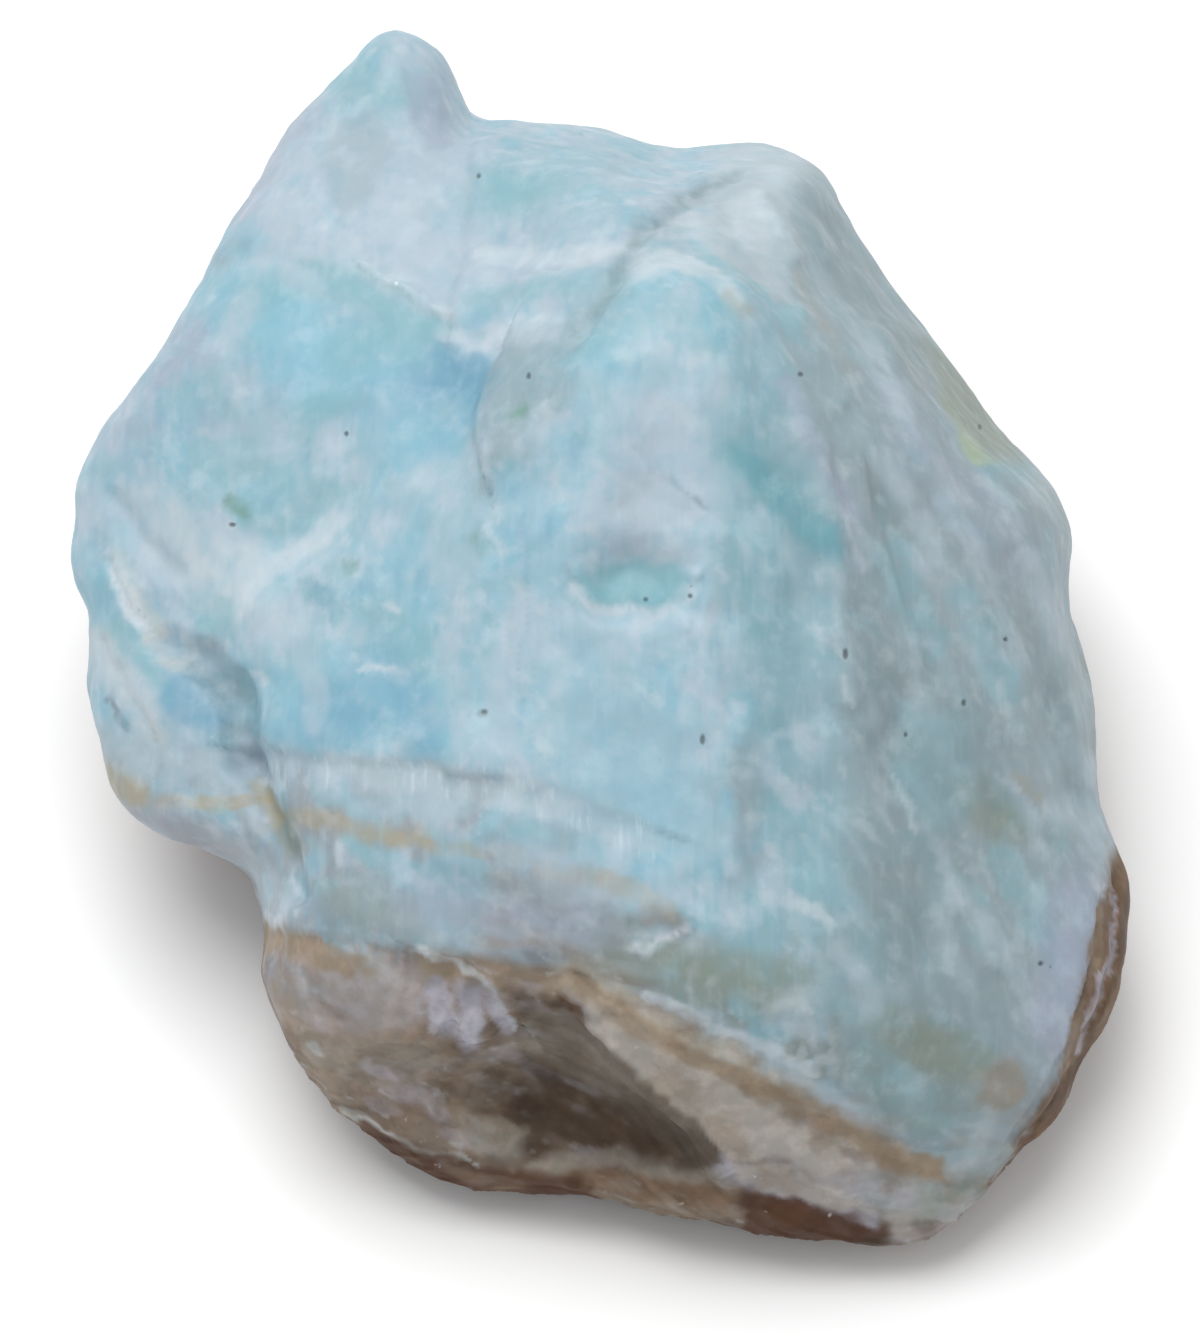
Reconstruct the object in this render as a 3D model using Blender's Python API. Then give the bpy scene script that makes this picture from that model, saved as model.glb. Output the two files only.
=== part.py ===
"""A rough blue calcite: one stone with a brown banded foot, resting on a small flat spot.

The stone is worked out facing its broad side: "across" runs to the right, "up" runs up the
broad side and "out" stands out of it. It then leans back onto its foot, with +Z up.
"""

import math

import bmesh
import bpy
import numpy as np
from mathutils import Vector, noise

MM = 0.001
STONE_NAME = "calcite_stone"
COLLECTION_NAME = "rough_blue_calcite"

# How the broad side looks upward from level, in degrees
FACE_RISE = 55.0
# The middle of the stone, from which its surface is measured: across, up, out in millimetres
HEART = (0.0, -3.0, 20.0)
# The mesh: cells along each side of the starting cube, and how far they crowd to the front
CELLS = 30
FRONT_CROWDING = 0.22
# No part of the stone is further from its heart than this, in millimetres
FARTHEST = 75.0
SEARCH_STEPS = 150
HALVINGS = 18

# The outline of the broad side, in millimetres: across and up, anticlockwise from the right
OUTLINE = (
    (32.0, 0.0), (31.4, 3.3), (31.8, 7.0), (30.9, 10.1), (28.9, 12.9), (21.0, 23.3),
    (16.8, 29.1), (14.4, 32.4), (11.6, 34.0), (7.2, 33.6), (0.0, 35.4), (-5.4, 36.0),
    (-8.6, 36.6), (-10.0, 38.8), (-11.4, 41.0), (-13.8, 41.8), (-16.4, 40.9), (-19.9, 37.3),
    (-21.4, 34.9), (-26.9, 24.2), (-33.0, 14.7), (-34.7, 12.0), (-35.2, 7.0), (-35.4, 3.7),
    (-34.2, 0.6), (-34.1, -3.3), (-32.7, -7.3), (-30.6, -11.6), (-26.9, -13.3), (-24.5, -14.9),
    (-23.5, -17.6), (-22.5, -20.3), (-20.0, -26.3), (-17.1, -31.0), (-13.4, -34.2),
    (-7.5, -35.8), (0.0, -36.7), (8.0, -38.4), (12.7, -39.9), (18.7, -40.2), (22.1, -39.1),
    (26.1, -35.9), (29.7, -32.8), (31.9, -28.7), (33.9, -24.5), (35.4, -20.0), (35.7, -16.0),
    (34.5, -11.3), (33.1, -7.0), (32.8, -3.3),
)
# The outline is widest where "out" has this value at up = 0, and less of it further up
RIM_OUT = 18.0
RIM_LEAN = -0.35
# How fast the sides draw in before and behind that line, per millimetre
RIM_ROUND_FRONT = 0.012
RIM_ROUND_BACK = 0.010
# How far the sides round into the front, and what that costs the outline
RIM_BLEND = 2.4
RIM_GROW = 0.4
# The share of a ledge or fold over which it dies out at each end
LINE_END = 0.12
# The relief of the front fades out over this much depth behind the heart
RELIEF_FADE = 12.0
# How far below the floor the underside is made before it is cut flat
UNDERCUT = 0.8
# How far each point moves towards its neighbours to take the steps out of the mesh
SOFTEN = 0.35
# Points this close to the floor are on it, in metres
ON_FLOOR = 1e-6
COLOUR = (0.47, 0.66, 0.69, 1.0)
ROUGHNESS = 0.42
# Edges bent more than this are shaded sharp, in degrees
SHARP_ANGLE = 40

# The broken faces of the front, each a point on it and how "out" climbs across and up it.
# Two bodies of them grow together: the crown on the right, and the shoulder on the left.
SHOULDER_FACES = {
    "pale_shoulder": ((-18.0, 30.0, 21.0), 0.34, -0.72),
    "blue_left": ((-18.0, 8.7, 31.0), 0.50, -0.22),
    "left_fall": ((-29.0, 3.0, 27.0), 1.10, -0.14),
    "banded_left": ((-13.3, -13.3, 40.0), 0.26, 0.12),
    "brown_hollow": ((-6.7, -27.3, 37.5), 0.34, 0.92),
    "tan_slope": ((12.0, -29.3, 39.5), -0.14, 0.68),
    "front_under": ((2.7, 0.0, 42.0), 0.04, -0.10),
    "right": ((23.3, 0.0, 35.0), -0.88, -0.24),
}
CROWN_FACES = {
    "crown_left": ((-1.0, 24.0, 36.5), 1.25, -1.05),
    "crown_low_left": ((-8.5, 8.0, 41.0), 0.70, -0.10),
    "apex_back": ((9.3, 27.3, 36.0), 0.12, -1.20),
    "front": ((2.7, 0.0, 43.6), 0.05, -0.05),
    "middle_strip": ((12.0, 3.3, 42.8), -0.34, -0.14),
    "right": ((23.3, 0.0, 35.0), -0.88, -0.24),
    "lower_right": ((20.0, -20.0, 39.5), -0.90, 0.05),
    "right_foot": ((32.3, -19.3, 28.0), -2.0, 0.35),
    "crown_low": ((0.0, -14.7, 43.2), 0.10, 0.30),
    "brown_hollow": ((-6.7, -27.3, 37.5), 0.34, 0.92),
    "tan_slope": ((12.0, -29.3, 39.5), -0.14, 0.68),
}
FACE_BLEND = 2.2
CROWN_BLEND = 1.6

# The unseen faces of the back and foot, in the resting frame: outward normal and distance
# from the heart, in millimetres
BACK_FACES = {
    "back_left": ((-0.62, 0.62, 0.14), 44.5),
    "back_right": ((0.66, 0.60, 0.22), 38.5),
    "back_low": ((0.12, 0.90, 0.28), 45.0),
    "back_scar": ((-0.25, 0.88, 0.02), 44.0),
    "foot_back": ((0.30, 0.80, -0.46), 35.5),
    "foot_back_left": ((-0.50, 0.66, -0.52), 36.5),
    "foot_left": ((-0.80, 0.12, -0.48), 30.5),
    "foot_right": ((0.86, 0.10, -0.44), 35.0),
    "foot_front_left": ((-0.66, -0.52, -0.44), 33.0),
}
BACK_BLEND = 3.6
# The underside is a shallow bowl: the middle and half sizes of the flat spot, across and
# back, and how steeply the bowl climbs away from it, in millimetres
FLAT_MIDDLE = (5.0, -22.0)
FLAT_HALVES = (20.0, 19.0)
BOWL_CLIMB = 1.5

# The lobe on the left, an egg shape: its middle and its three half sizes
LOBE_MIDDLE = (-29.5, 0.5, 13.5)
LOBE_HALVES = (9.0, 14.0, 10.5)
LOBE_BLEND = 1.4

# Ledges: a line on the broad side with the high ground on its left as it runs, how high the
# ground is there, half the width of the drop, and how far the high ground reaches
LEDGES = {
    "plateau_scarp": (
        ((-1.0, 20.5), (-5.3, 18.6), (-7.6, 16.4), (-8.3, 13.5), (-7.2, 10.5)),
        1.0, 1.4, 6.0,
    ),
    "blue_edge": (
        ((-24.0, -6.8), (-17.3, -7.1), (-10.0, -7.6), (-4.7, -9.3), (3.3, -12.7)),
        0.7, 1.8, 7.0,
    ),
    "brown_edge": (
        ((-24.5, -18.0), (-18.0, -19.0), (-11.3, -19.2), (-6.7, -20.6), (-2.0, -21.8)),
        1.4, 1.8, 10.0,
    ),
}
# Grooves and ridges: a line, how high it stands (less than 0 for a groove), and its half width
FOLDS = {
    "lobe_groove": (
        ((-34.5, 11.5), (-32.3, 9.5), (-28.7, 5.3), (-26.2, 1.6), (-24.0, -2.7), (-23.6, -7.3),
         (-21.0, -13.0), (-20.2, -17.5)),
        -2.0, 2.3,
    ),
    "crown_valley": (((9.0, 33.0), (5.5, 30.0), (2.4, 27.5), (0.4, 24.0), (-2.2, 19.5)), -0.9, 1.7),
    "knob_ridge": (((-14.0, 43.0), (-16.5, 34.0), (-19.5, 26.0)), 1.2, 4.0),
    "shoulder_trough": (((-8.0, 39.0), (-8.6, 31.0), (-7.0, 24.0)), -1.0, 3.0),
    "front_edge": (((7.0, 3.0), (8.5, -7.0), (9.0, -15.0)), 0.5, 1.6),
    "tan_ridge": (((-13.3, -12.0), (-2.7, -14.7), (3.3, -16.7), (12.0, -18.5)), 0.5, 1.5),
    "right_edge": (((9.0, 24.0), (13.3, 16.7), (15.3, 8.0), (16.3, -3.3)), 0.6, 1.6),
    "right_fold_high": (((16.5, 21.0), (21.0, 12.0), (27.5, 3.0)), 0.45, 2.0),
    "right_fold_middle": (((17.5, 5.0), (22.5, -4.0), (29.5, -13.0)), 0.55, 2.2),
    "right_fold_low": (((13.0, -7.0), (18.5, -17.0), (25.5, -25.0)), -0.50, 2.2),
}
# Hollows where chips have left the surface: middle, half sizes, depth
HOLLOWS = {
    "front_scoop": ((2.0, 4.8), (4.4, 3.0), -1.4),
    "lit_dish": ((4.0, 10.0), (4.6, 6.0), -0.7),
    "brown_dish": ((-3.0, -30.0), (10.0, 7.0), -1.6),
    "blue_dish": ((-11.0, 17.5), (4.0, 3.4), -0.8),
    "left_dish": ((-17.0, 4.0), (9.0, 9.0), -0.7),
}
# The unevenness of the whole surface: how wide each kind of swell is, and how high
SWELLS = ((15.0, 0.70), (6.5, 0.28), (3.8, 0.12))


def smooth_highest(a, b, radius):
    """The higher of two distances, rounded where they meet."""
    near = np.clip(1 - np.abs(a - b) / radius, 0, 1)
    return np.maximum(a, b) + near * near * radius / 4


def smooth_lowest(a, b, radius):
    """The lower of two distances, rounded where they meet."""
    return -smooth_highest(-a, -b, radius)


def rested(points):
    """Turns across, up and out into the resting frame, with +Z up."""
    rise = math.radians(FACE_RISE)
    across, up, out = points.T
    back = up * math.sin(rise) - out * math.cos(rise)
    height = up * math.cos(rise) + out * math.sin(rise)
    return np.stack([across, back, height], axis=1)


def outline_distance(across, up):
    """How far each point is outside the outline, less than 0 inside it."""
    ring = np.array(OUTLINE)
    nearest = np.full(across.shape, np.inf)
    inside = np.zeros(across.shape, bool)
    for (ax, ay), (bx, by) in zip(ring, np.roll(ring, -1, axis=0)):
        along_x, along_y = bx - ax, by - ay
        share = ((across - ax) * along_x + (up - ay) * along_y) / (along_x**2 + along_y**2)
        share = np.clip(share, 0, 1)
        gap = np.hypot(across - ax - share * along_x, up - ay - share * along_y)
        nearest = np.minimum(nearest, gap)
        crosses = (ay > up) != (by > up)
        if ay != by:
            inside ^= crosses & (across < ax + (up - ay) / (by - ay) * along_x)
    return np.where(inside, -nearest, nearest)


def face_distance(points, face):
    """How far each point stands out of one broken face."""
    (at_across, at_up, at_out), climb_across, climb_up = face
    across, up, out = points.T
    level = at_out + climb_across * (across - at_across) + climb_up * (up - at_up)
    return (out - level) / math.sqrt(1 + climb_across**2 + climb_up**2)


def faces_distance(points, faces):
    """How far each point stands out of the body that these faces bound."""
    found = None
    for face in faces.values():
        distance = face_distance(points, face)
        found = distance if found is None else smooth_highest(found, distance, FACE_BLEND)
    return found


def front_distance(points):
    shoulder = faces_distance(points, SHOULDER_FACES)
    crown = faces_distance(points, CROWN_FACES)
    return smooth_lowest(shoulder, crown, CROWN_BLEND)


def lobe_distance(points):
    scaled = (points - np.array(LOBE_MIDDLE)) / np.array(LOBE_HALVES)
    return (np.linalg.norm(scaled, axis=1) - 1) * min(LOBE_HALVES)


def back_distance(points):
    heart = rested(np.array([HEART]))[0]
    found = None
    for normal, reach in BACK_FACES.values():
        normal = np.array(normal) / np.linalg.norm(normal)
        distance = (rested(points) - heart) @ normal - reach
        found = distance if found is None else smooth_highest(found, distance, BACK_BLEND)
    return found


def path_place(across, up, path):
    """Distance from a line, on which side (+ is its left), and how far along it, 0 to 1."""
    path = np.array(path)
    runs = np.hypot(*(path[1:] - path[:-1]).T)
    starts = np.concatenate([[0], np.cumsum(runs)])
    nearest = np.full(across.shape, np.inf)
    side = np.ones(across.shape)
    along = np.zeros(across.shape)
    for (ax, ay), (bx, by), run, start in zip(path, path[1:], runs, starts):
        toward_x, toward_y = (bx - ax) / run, (by - ay) / run
        reach = np.clip((across - ax) * toward_x + (up - ay) * toward_y, 0, run)
        off_x, off_y = across - ax - reach * toward_x, up - ay - reach * toward_y
        gap = np.hypot(off_x, off_y)
        closer = gap < nearest
        nearest = np.where(closer, gap, nearest)
        side = np.where(closer, np.sign(toward_x * off_y - toward_y * off_x), side)
        along = np.where(closer, (start + reach) / starts[-1], along)
    return nearest, side, along


def fading_ends(along):
    """1 along the middle of a line, falling to 0 at its two ends."""
    return np.clip(np.minimum(along, 1 - along) / LINE_END, 0, 1)


def ledge_relief(across, up, ledge):
    path, rise, half_drop, reach = ledge
    gap, side, along = path_place(across, up, path)
    step = np.clip(0.5 + side * gap / half_drop / 2, 0, 1)
    step = step * step * (3 - 2 * step)
    return rise * step * np.exp(-np.maximum(side * gap, 0) / reach) * fading_ends(along)


def fold_relief(across, up, fold):
    path, rise, half_width = fold
    gap, _, along = path_place(across, up, path)
    return rise * np.exp(-(gap / half_width) ** 2) * fading_ends(along)


def hollow_relief(across, up, hollow):
    (at_across, at_up), (half_across, half_up), depth = hollow
    spread = ((across - at_across) / half_across) ** 2 + ((up - at_up) / half_up) ** 2
    return depth * np.clip(1 - spread, 0, 1)


def relief(across, up):
    """How much the front stands out over its broken faces, in millimetres."""
    height = sum(ledge_relief(across, up, ledge) for ledge in LEDGES.values())
    height += sum(fold_relief(across, up, fold) for fold in FOLDS.values())
    height += sum(hollow_relief(across, up, hollow) for hollow in HOLLOWS.values())
    return height


def bowl_distance(points):
    """How far each point is below the bowl of the underside."""
    across, back, height = rested(points).T
    (middle_across, middle_back), (half_across, half_back) = FLAT_MIDDLE, FLAT_HALVES
    spread = ((across - middle_across) / half_across) ** 2 + ((back - middle_back) / half_back) ** 2
    return BOWL_CLIMB * (spread - 1) - height


def sides_distance(points):
    """How far each point is outside the stone's outline and the round of its sides."""
    across, up, out = points.T
    past_rim = out - RIM_OUT - RIM_LEAN * up
    rounding = np.where(past_rim > 0, RIM_ROUND_FRONT, RIM_ROUND_BACK)
    return outline_distance(across, up) - RIM_GROW + rounding * past_rim**2


def stone_distance(points):
    """How far each point is outside the stone, less than 0 inside it."""
    across, up, out = points.T
    lowered = points.copy()
    lowered[:, 2] -= relief(across, up) * np.clip(1 + (out - HEART[2]) / RELIEF_FADE, 0, 1)
    front = smooth_lowest(front_distance(lowered), lobe_distance(points), LOBE_BLEND)
    whole = smooth_highest(front, sides_distance(points), RIM_BLEND)
    whole = smooth_highest(whole, back_distance(points), BACK_BLEND)
    return smooth_highest(whole, bowl_distance(points), BACK_BLEND)


def surface_reach(directions):
    """How far the outermost surface of the stone is from its heart along each direction."""
    heart = np.array(HEART)
    outer = np.full(len(directions), FARTHEST)
    inner = np.zeros(len(directions))
    found = np.zeros(len(directions), bool)
    for step in np.linspace(FARTHEST, 0, SEARCH_STEPS):
        inside = stone_distance(heart + directions * step) < 0
        new = inside & ~found
        inner[new] = step
        found |= new
        outer[~found] = step
    for _ in range(HALVINGS):
        middle = (inner + outer) / 2
        inside = stone_distance(heart + directions * middle[:, None]) < 0
        inner = np.where(inside, middle, inner)
        outer = np.where(inside, outer, middle)
    return inner


def swell(point):
    """The unevenness of the surface at a point, in millimetres."""
    return sum(rise * noise.noise(Vector(point) / width) for width, rise in SWELLS)


def surface_points(directions):
    """The surface point in each direction, with the underside stopped just below the floor."""
    heart = np.array(HEART)
    reach = surface_reach(directions)
    smooth = heart + directions * reach[:, None]
    reach = reach + np.array([swell(point) for point in smooth])
    drop = rested(heart[None])[0, 2] + UNDERCUT
    fall = np.maximum(-rested(directions)[:, 2], drop / FARTHEST)
    return heart + directions * np.minimum(reach, drop / fall)[:, None]


def start_cube(shape):
    """A cube of small cells, whose corners become directions that crowd to the front."""
    bmesh.ops.create_cube(shape, size=2)
    bmesh.ops.subdivide_edges(shape, edges=shape.edges[:], cuts=CELLS - 1, use_grid_fill=True)
    corners = np.array([vertex.co[:] for vertex in shape.verts])
    spread = np.tan(corners * math.pi / 4)
    directions = spread / np.linalg.norm(spread, axis=1)[:, None]
    directions[:, 2] += FRONT_CROWDING
    return directions / np.linalg.norm(directions, axis=1)[:, None]


def cut_flat(shape):
    """Cuts the underside level at the floor and closes it with one flat face."""
    everything = shape.verts[:] + shape.edges[:] + shape.faces[:]
    cut = bmesh.ops.bisect_plane(
        shape, geom=everything, dist=ON_FLOOR, plane_co=(0, 0, 0), plane_no=(0, 0, -1),
        clear_outer=True,
    )
    edge = [item for item in cut["geom_cut"] if isinstance(item, bmesh.types.BMEdge)]
    bmesh.ops.contextual_create(shape, geom=edge)


def stand_on_origin(shape):
    """Moves the stone so that the middle of its footprint box is the origin."""
    points = np.array([vertex.co[:] for vertex in shape.verts])
    middle = (points.min(axis=0) + points.max(axis=0)) / 2
    bmesh.ops.translate(shape, verts=shape.verts[:], vec=(-middle[0], -middle[1], 0))
    print("The broad side's own origin is moved by, in mm:", -middle[0] / MM, -middle[1] / MM)


def build_stone():
    mesh = bpy.data.meshes.new(STONE_NAME)
    shape = bmesh.new()
    directions = start_cube(shape)
    for vertex, point in zip(shape.verts, rested(surface_points(directions))):
        vertex.co = point * MM
    bmesh.ops.recalc_face_normals(shape, faces=shape.faces[:])
    bmesh.ops.smooth_vert(
        shape, verts=shape.verts[:], factor=SOFTEN, use_axis_x=True, use_axis_y=True,
        use_axis_z=True,
    )
    cut_flat(shape)
    stand_on_origin(shape)
    bmesh.ops.triangulate(shape, faces=shape.faces[:])
    bmesh.ops.recalc_face_normals(shape, faces=shape.faces[:])
    shape.to_mesh(mesh)
    shape.free()
    mesh.shade_smooth()
    mesh.set_sharp_from_angle(angle=math.radians(SHARP_ANGLE))
    return mesh


def blue_calcite():
    """The waxy, slightly clear blue green of the fresh stone."""
    material = bpy.data.materials.new("calcite")
    material.use_nodes = True
    shader = material.node_tree.nodes["Principled BSDF"]
    shader.inputs["Base Color"].default_value = COLOUR
    shader.inputs["Roughness"].default_value = ROUGHNESS
    shader.inputs["Metallic"].default_value = 0.0
    return material


def main():
    for thing in list(bpy.data.objects):
        bpy.data.objects.remove(thing, do_unlink=True)
    collection = bpy.data.collections.new(COLLECTION_NAME)
    bpy.context.scene.collection.children.link(collection)
    stone = bpy.data.objects.new(STONE_NAME, build_stone())
    stone.data.materials.append(blue_calcite())
    collection.objects.link(stone)


main()
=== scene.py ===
# %% [markdown]
# A rough blue calcite
#
# The object is one natural stone: milky blue calcite that grew on a brown, banded foot of the
# same rock. It is waxy and a little clear, so its colours look soft, and it has few sharp
# edges. This lesson starts from the plain solid of the stone, gives it a finer surface, paints
# its bands and patches onto the points of the mesh, and lets a node material add the grain.

# %% Load the solid stone
import math

import bmesh
import bpy
import numpy as np
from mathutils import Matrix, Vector, noise


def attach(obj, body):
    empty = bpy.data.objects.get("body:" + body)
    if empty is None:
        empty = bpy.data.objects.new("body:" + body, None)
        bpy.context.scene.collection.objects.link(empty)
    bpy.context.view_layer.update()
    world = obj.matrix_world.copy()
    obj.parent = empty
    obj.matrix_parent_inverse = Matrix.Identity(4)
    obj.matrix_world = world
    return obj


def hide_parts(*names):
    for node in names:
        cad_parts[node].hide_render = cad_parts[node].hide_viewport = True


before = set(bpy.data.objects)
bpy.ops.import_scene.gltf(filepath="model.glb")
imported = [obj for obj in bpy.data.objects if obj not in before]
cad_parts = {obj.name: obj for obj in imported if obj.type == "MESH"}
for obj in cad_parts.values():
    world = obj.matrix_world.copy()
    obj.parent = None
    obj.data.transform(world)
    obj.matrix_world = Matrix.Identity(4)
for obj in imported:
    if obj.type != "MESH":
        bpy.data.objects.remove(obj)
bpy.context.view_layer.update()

MM = 0.001
STONE_NODE = "calcite_stone"

# %% [markdown]
# Two ways to name a place
#
# Blender measures along X, Y and Z. The stone is easier to describe as someone sees it who
# faces its broad side: "across" to the right, "up" the broad side, and "out" of it. The broad
# side leans back, so the two differ by one turn about X and one shift. Every place below is
# given across and up, in millimetres, and this cell turns points from one to the other.

# %% Face the broad side
FACE_RISE = math.radians(55)
FACE_SHIFT = (-0.48, 10.25, 0.0)


def faced(points):
    """Across, up and out in millimetres, from points in metres."""
    x, y, z = (points / MM - np.array(FACE_SHIFT)).T
    up = y * math.sin(FACE_RISE) + z * math.cos(FACE_RISE)
    out = z * math.sin(FACE_RISE) - y * math.cos(FACE_RISE)
    return np.stack([x, up, out], axis=1)


def placed(across, up, out):
    """A point in metres, from across, up and out in millimetres."""
    y = up * math.sin(FACE_RISE) - out * math.cos(FACE_RISE)
    z = up * math.cos(FACE_RISE) + out * math.sin(FACE_RISE)
    return (Vector((across, y, z)) + Vector(FACE_SHIFT)) * MM


across_way, up_way, out_way = (
    (placed(*way) - placed(0, 0, 0)).normalized() for way in ((1, 0, 0), (0, 1, 0), (0, 0, 1))
)
print("the broad side faces", [round(c, 3) for c in out_way])

# %% [markdown]
# The camera
#
# A wide lens close by would make the near foot of the stone look too big. A long lens from
# over a metre away keeps its proportions. The lens is worked out from how much of the stone's
# height fills the picture, so the framing stays right if the distance changes.

# %% Set the camera square to the broad side
CAMERA_DISTANCE = 1.2
PICTURE_HEIGHT = 88.9 * MM
PICTURE_MIDDLE = (0.0, -1.1, 22.0)

camera_data = bpy.data.cameras.new("camera")
camera_data.sensor_width = 36.0
camera_data.lens = camera_data.sensor_width * CAMERA_DISTANCE / PICTURE_HEIGHT
camera_data.clip_start = 0.05
camera = bpy.data.objects.new("camera", camera_data)
bpy.context.scene.collection.objects.link(camera)
camera.location = placed(*PICTURE_MIDDLE) + out_way * CAMERA_DISTANCE
camera.rotation_euler = (-out_way).to_track_quat("-Z", "Y").to_euler()
bpy.context.scene.camera = camera
print("lens in mm:", round(camera_data.lens))

# %% [markdown]
# A pale floor and soft light
#
# Waxy stone looks best in light with no hard edge. One large panel above, behind and to the
# left gives the shapes a bright side, and a white surround fills the shade. The floor is a
# flat white sheet, bright enough that only the stone's own shadow shows on it.

# %% Floor, panel and surround
FLOOR_HALF = 4.0
FLOOR_WHITE = 0.9
PANEL_SIZE = 0.9
PANEL_POWER = 11.0
PANEL_PLACE = (-0.2, 0.2, 1.15)
SURROUND_STRENGTH = 0.68

floor_shape = bmesh.new()
bmesh.ops.create_grid(floor_shape, x_segments=1, y_segments=1, size=FLOOR_HALF)
floor_mesh = bpy.data.meshes.new("floor")
floor_shape.to_mesh(floor_mesh)
floor_shape.free()
floor = bpy.data.objects.new("floor", floor_mesh)
bpy.context.scene.collection.objects.link(floor)

floor_paint = bpy.data.materials.new("floor_paint")
floor_paint.use_nodes = True
floor_shader = floor_paint.node_tree.nodes["Principled BSDF"]
floor_shader.inputs["Base Color"].default_value = (FLOOR_WHITE, FLOOR_WHITE, FLOOR_WHITE, 1)
floor_shader.inputs["Roughness"].default_value = 0.9
floor_shader.inputs["Specular IOR Level"].default_value = 0.0
floor_mesh.materials.append(floor_paint)

panel_data = bpy.data.lights.new("panel", "AREA")
panel_data.size = PANEL_SIZE
panel_data.energy = PANEL_POWER
panel = bpy.data.objects.new("panel", panel_data)
bpy.context.scene.collection.objects.link(panel)
panel.location = PANEL_PLACE
panel.rotation_euler = Vector(PANEL_PLACE).to_track_quat("Z", "Y").to_euler()

surround = bpy.data.worlds.new("surround")
surround.use_nodes = True
surround.node_tree.nodes["Background"].inputs["Color"].default_value = (1, 1, 1, 1)
surround.node_tree.nodes["Background"].inputs["Strength"].default_value = SURROUND_STRENGTH
bpy.context.scene.world = surround
bpy.context.scene.view_settings.view_transform = "Standard"

# %% [markdown]
# A finer skin for the stone
#
# The solid is loose triangles, fine enough for its lumps and ledges and no finer. A copy of it
# is welded, and its edges are divided: all of them once, and then whatever is still long, with
# a tighter limit on the broad side, where the eye goes. Smoothing takes the facets out, and
# the flat spot that the stone rests on is held still.

# %% Divide and smooth a copy of the solid
WELD = 1e-7
ON_FLOOR = 1e-6
SMOOTHING_ROUNDS = 3
LONG_EDGE = {"front": 0.55 * MM, "back": 1.1 * MM}
DIVIDING_ROUNDS = 2


def free_points(shape):
    return [v for v in shape.verts if v.co.z >= ON_FLOOR]


def divide(shape, edges):
    bmesh.ops.subdivide_edges(shape, edges=edges, cuts=1)
    bmesh.ops.triangulate(shape, faces=shape.faces[:])


def soften(shape, rounds, factor=0.5):
    for _ in range(rounds):
        bmesh.ops.smooth_vert(
            shape, verts=free_points(shape), factor=factor, use_axis_x=True, use_axis_y=True,
            use_axis_z=True,
        )


skin = bmesh.new()
skin.from_mesh(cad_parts[STONE_NODE].data)
bmesh.ops.remove_doubles(skin, verts=skin.verts[:], dist=WELD)
divide(skin, skin.edges[:])
soften(skin, SMOOTHING_ROUNDS)
skin.normal_update()
for _ in range(DIVIDING_ROUNDS):
    long_edges = []
    for edge in skin.edges:
        facing = (edge.verts[0].normal + edge.verts[1].normal).dot(out_way)
        side = "front" if facing > -0.1 else "back"
        lifted = edge.verts[0].co.z + edge.verts[1].co.z > ON_FLOOR
        if edge.calc_length() > LONG_EDGE[side] and lifted:
            long_edges.append(edge)
    divide(skin, long_edges)
    skin.normal_update()
soften(skin, 1)
print("triangles in the skin:", len(skin.faces))

# %% [markdown]
# Tools for working on a skin of points
#
# Every mark on the stone is kept as a line or an outline drawn over its broad side. To use it,
# each point of the skin needs its distance from that line. A little noise is added to the place
# of each point first, so that no edge on the stone comes out ruled.

# %% Noise, distances and soft steps
def noise_over(points, size, seed=0):
    """Smooth noise, about -1 to 1, for each point; the size of its lumps is in millimetres."""
    offset = Vector((3.7, 1.9, 5.3)) * seed
    scaled = (points / (size * MM)).tolist()
    return np.array([noise.noise(Vector(p) + offset) for p in scaled])


def ease(low, high, value):
    part = np.clip((value - low) / (high - low), 0.0, 1.0)
    return part * part * (3.0 - 2.0 * part)


def path_distance(spots, path):
    """Distance from each spot to a path, and which side of it the spot is on (left is +1)."""
    corners = np.array(path, float)
    nearest = np.full(len(spots), np.inf)
    side = np.zeros(len(spots))
    for start, finish in zip(corners, corners[1:]):
        run = finish - start
        reach = spots - start
        part = np.clip(reach @ run / (run @ run), 0.0, 1.0)
        gap = np.hypot(*(reach - part[:, None] * run).T)
        closer = gap < nearest
        nearest[closer] = gap[closer]
        side[closer] = np.sign(run[0] * reach[:, 1] - run[1] * reach[:, 0])[closer]
    return nearest, side


def outline_distance(spots, outline):
    """Distance to a closed outline, below zero inside it."""
    closed = outline + outline[:1]
    gap, _ = path_distance(spots, closed)
    inside = np.zeros(len(spots), bool)
    for (x1, y1), (x2, y2) in zip(closed, closed[1:]):
        if y1 != y2:
            crosses = (spots[:, 1] < y1) != (spots[:, 1] < y2)
            inside ^= crosses & (spots[:, 0] < x1 + (spots[:, 1] - y1) * (x2 - x1) / (y2 - y1))
    return np.where(inside, -gap, gap)


def skin_points(shape):
    return np.array([v.co[:] for v in shape.verts])


def skin_normals(shape):
    shape.normal_update()
    return np.array([v.normal[:] for v in shape.verts])


def wavered(points, size, sway, seed):
    """Across and up of each point, moved aside by noise of that size, in millimetres."""
    spots = faced(points)[:, :2].copy()
    for axis in (0, 1):
        spots[:, axis] += sway * noise_over(points, size, seed + axis)
    return spots


print("points in the skin:", len(skin.verts))

# %% [markdown]
# Pull the outline into shape
#
# The solid leaves the small bumps and bays of the outline round. Here they are pulled out or
# pushed in, each with a place on the broad side, a push across and up, and how far it reaches.
# A push fades with distance like a thumb pressed into clay.

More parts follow.
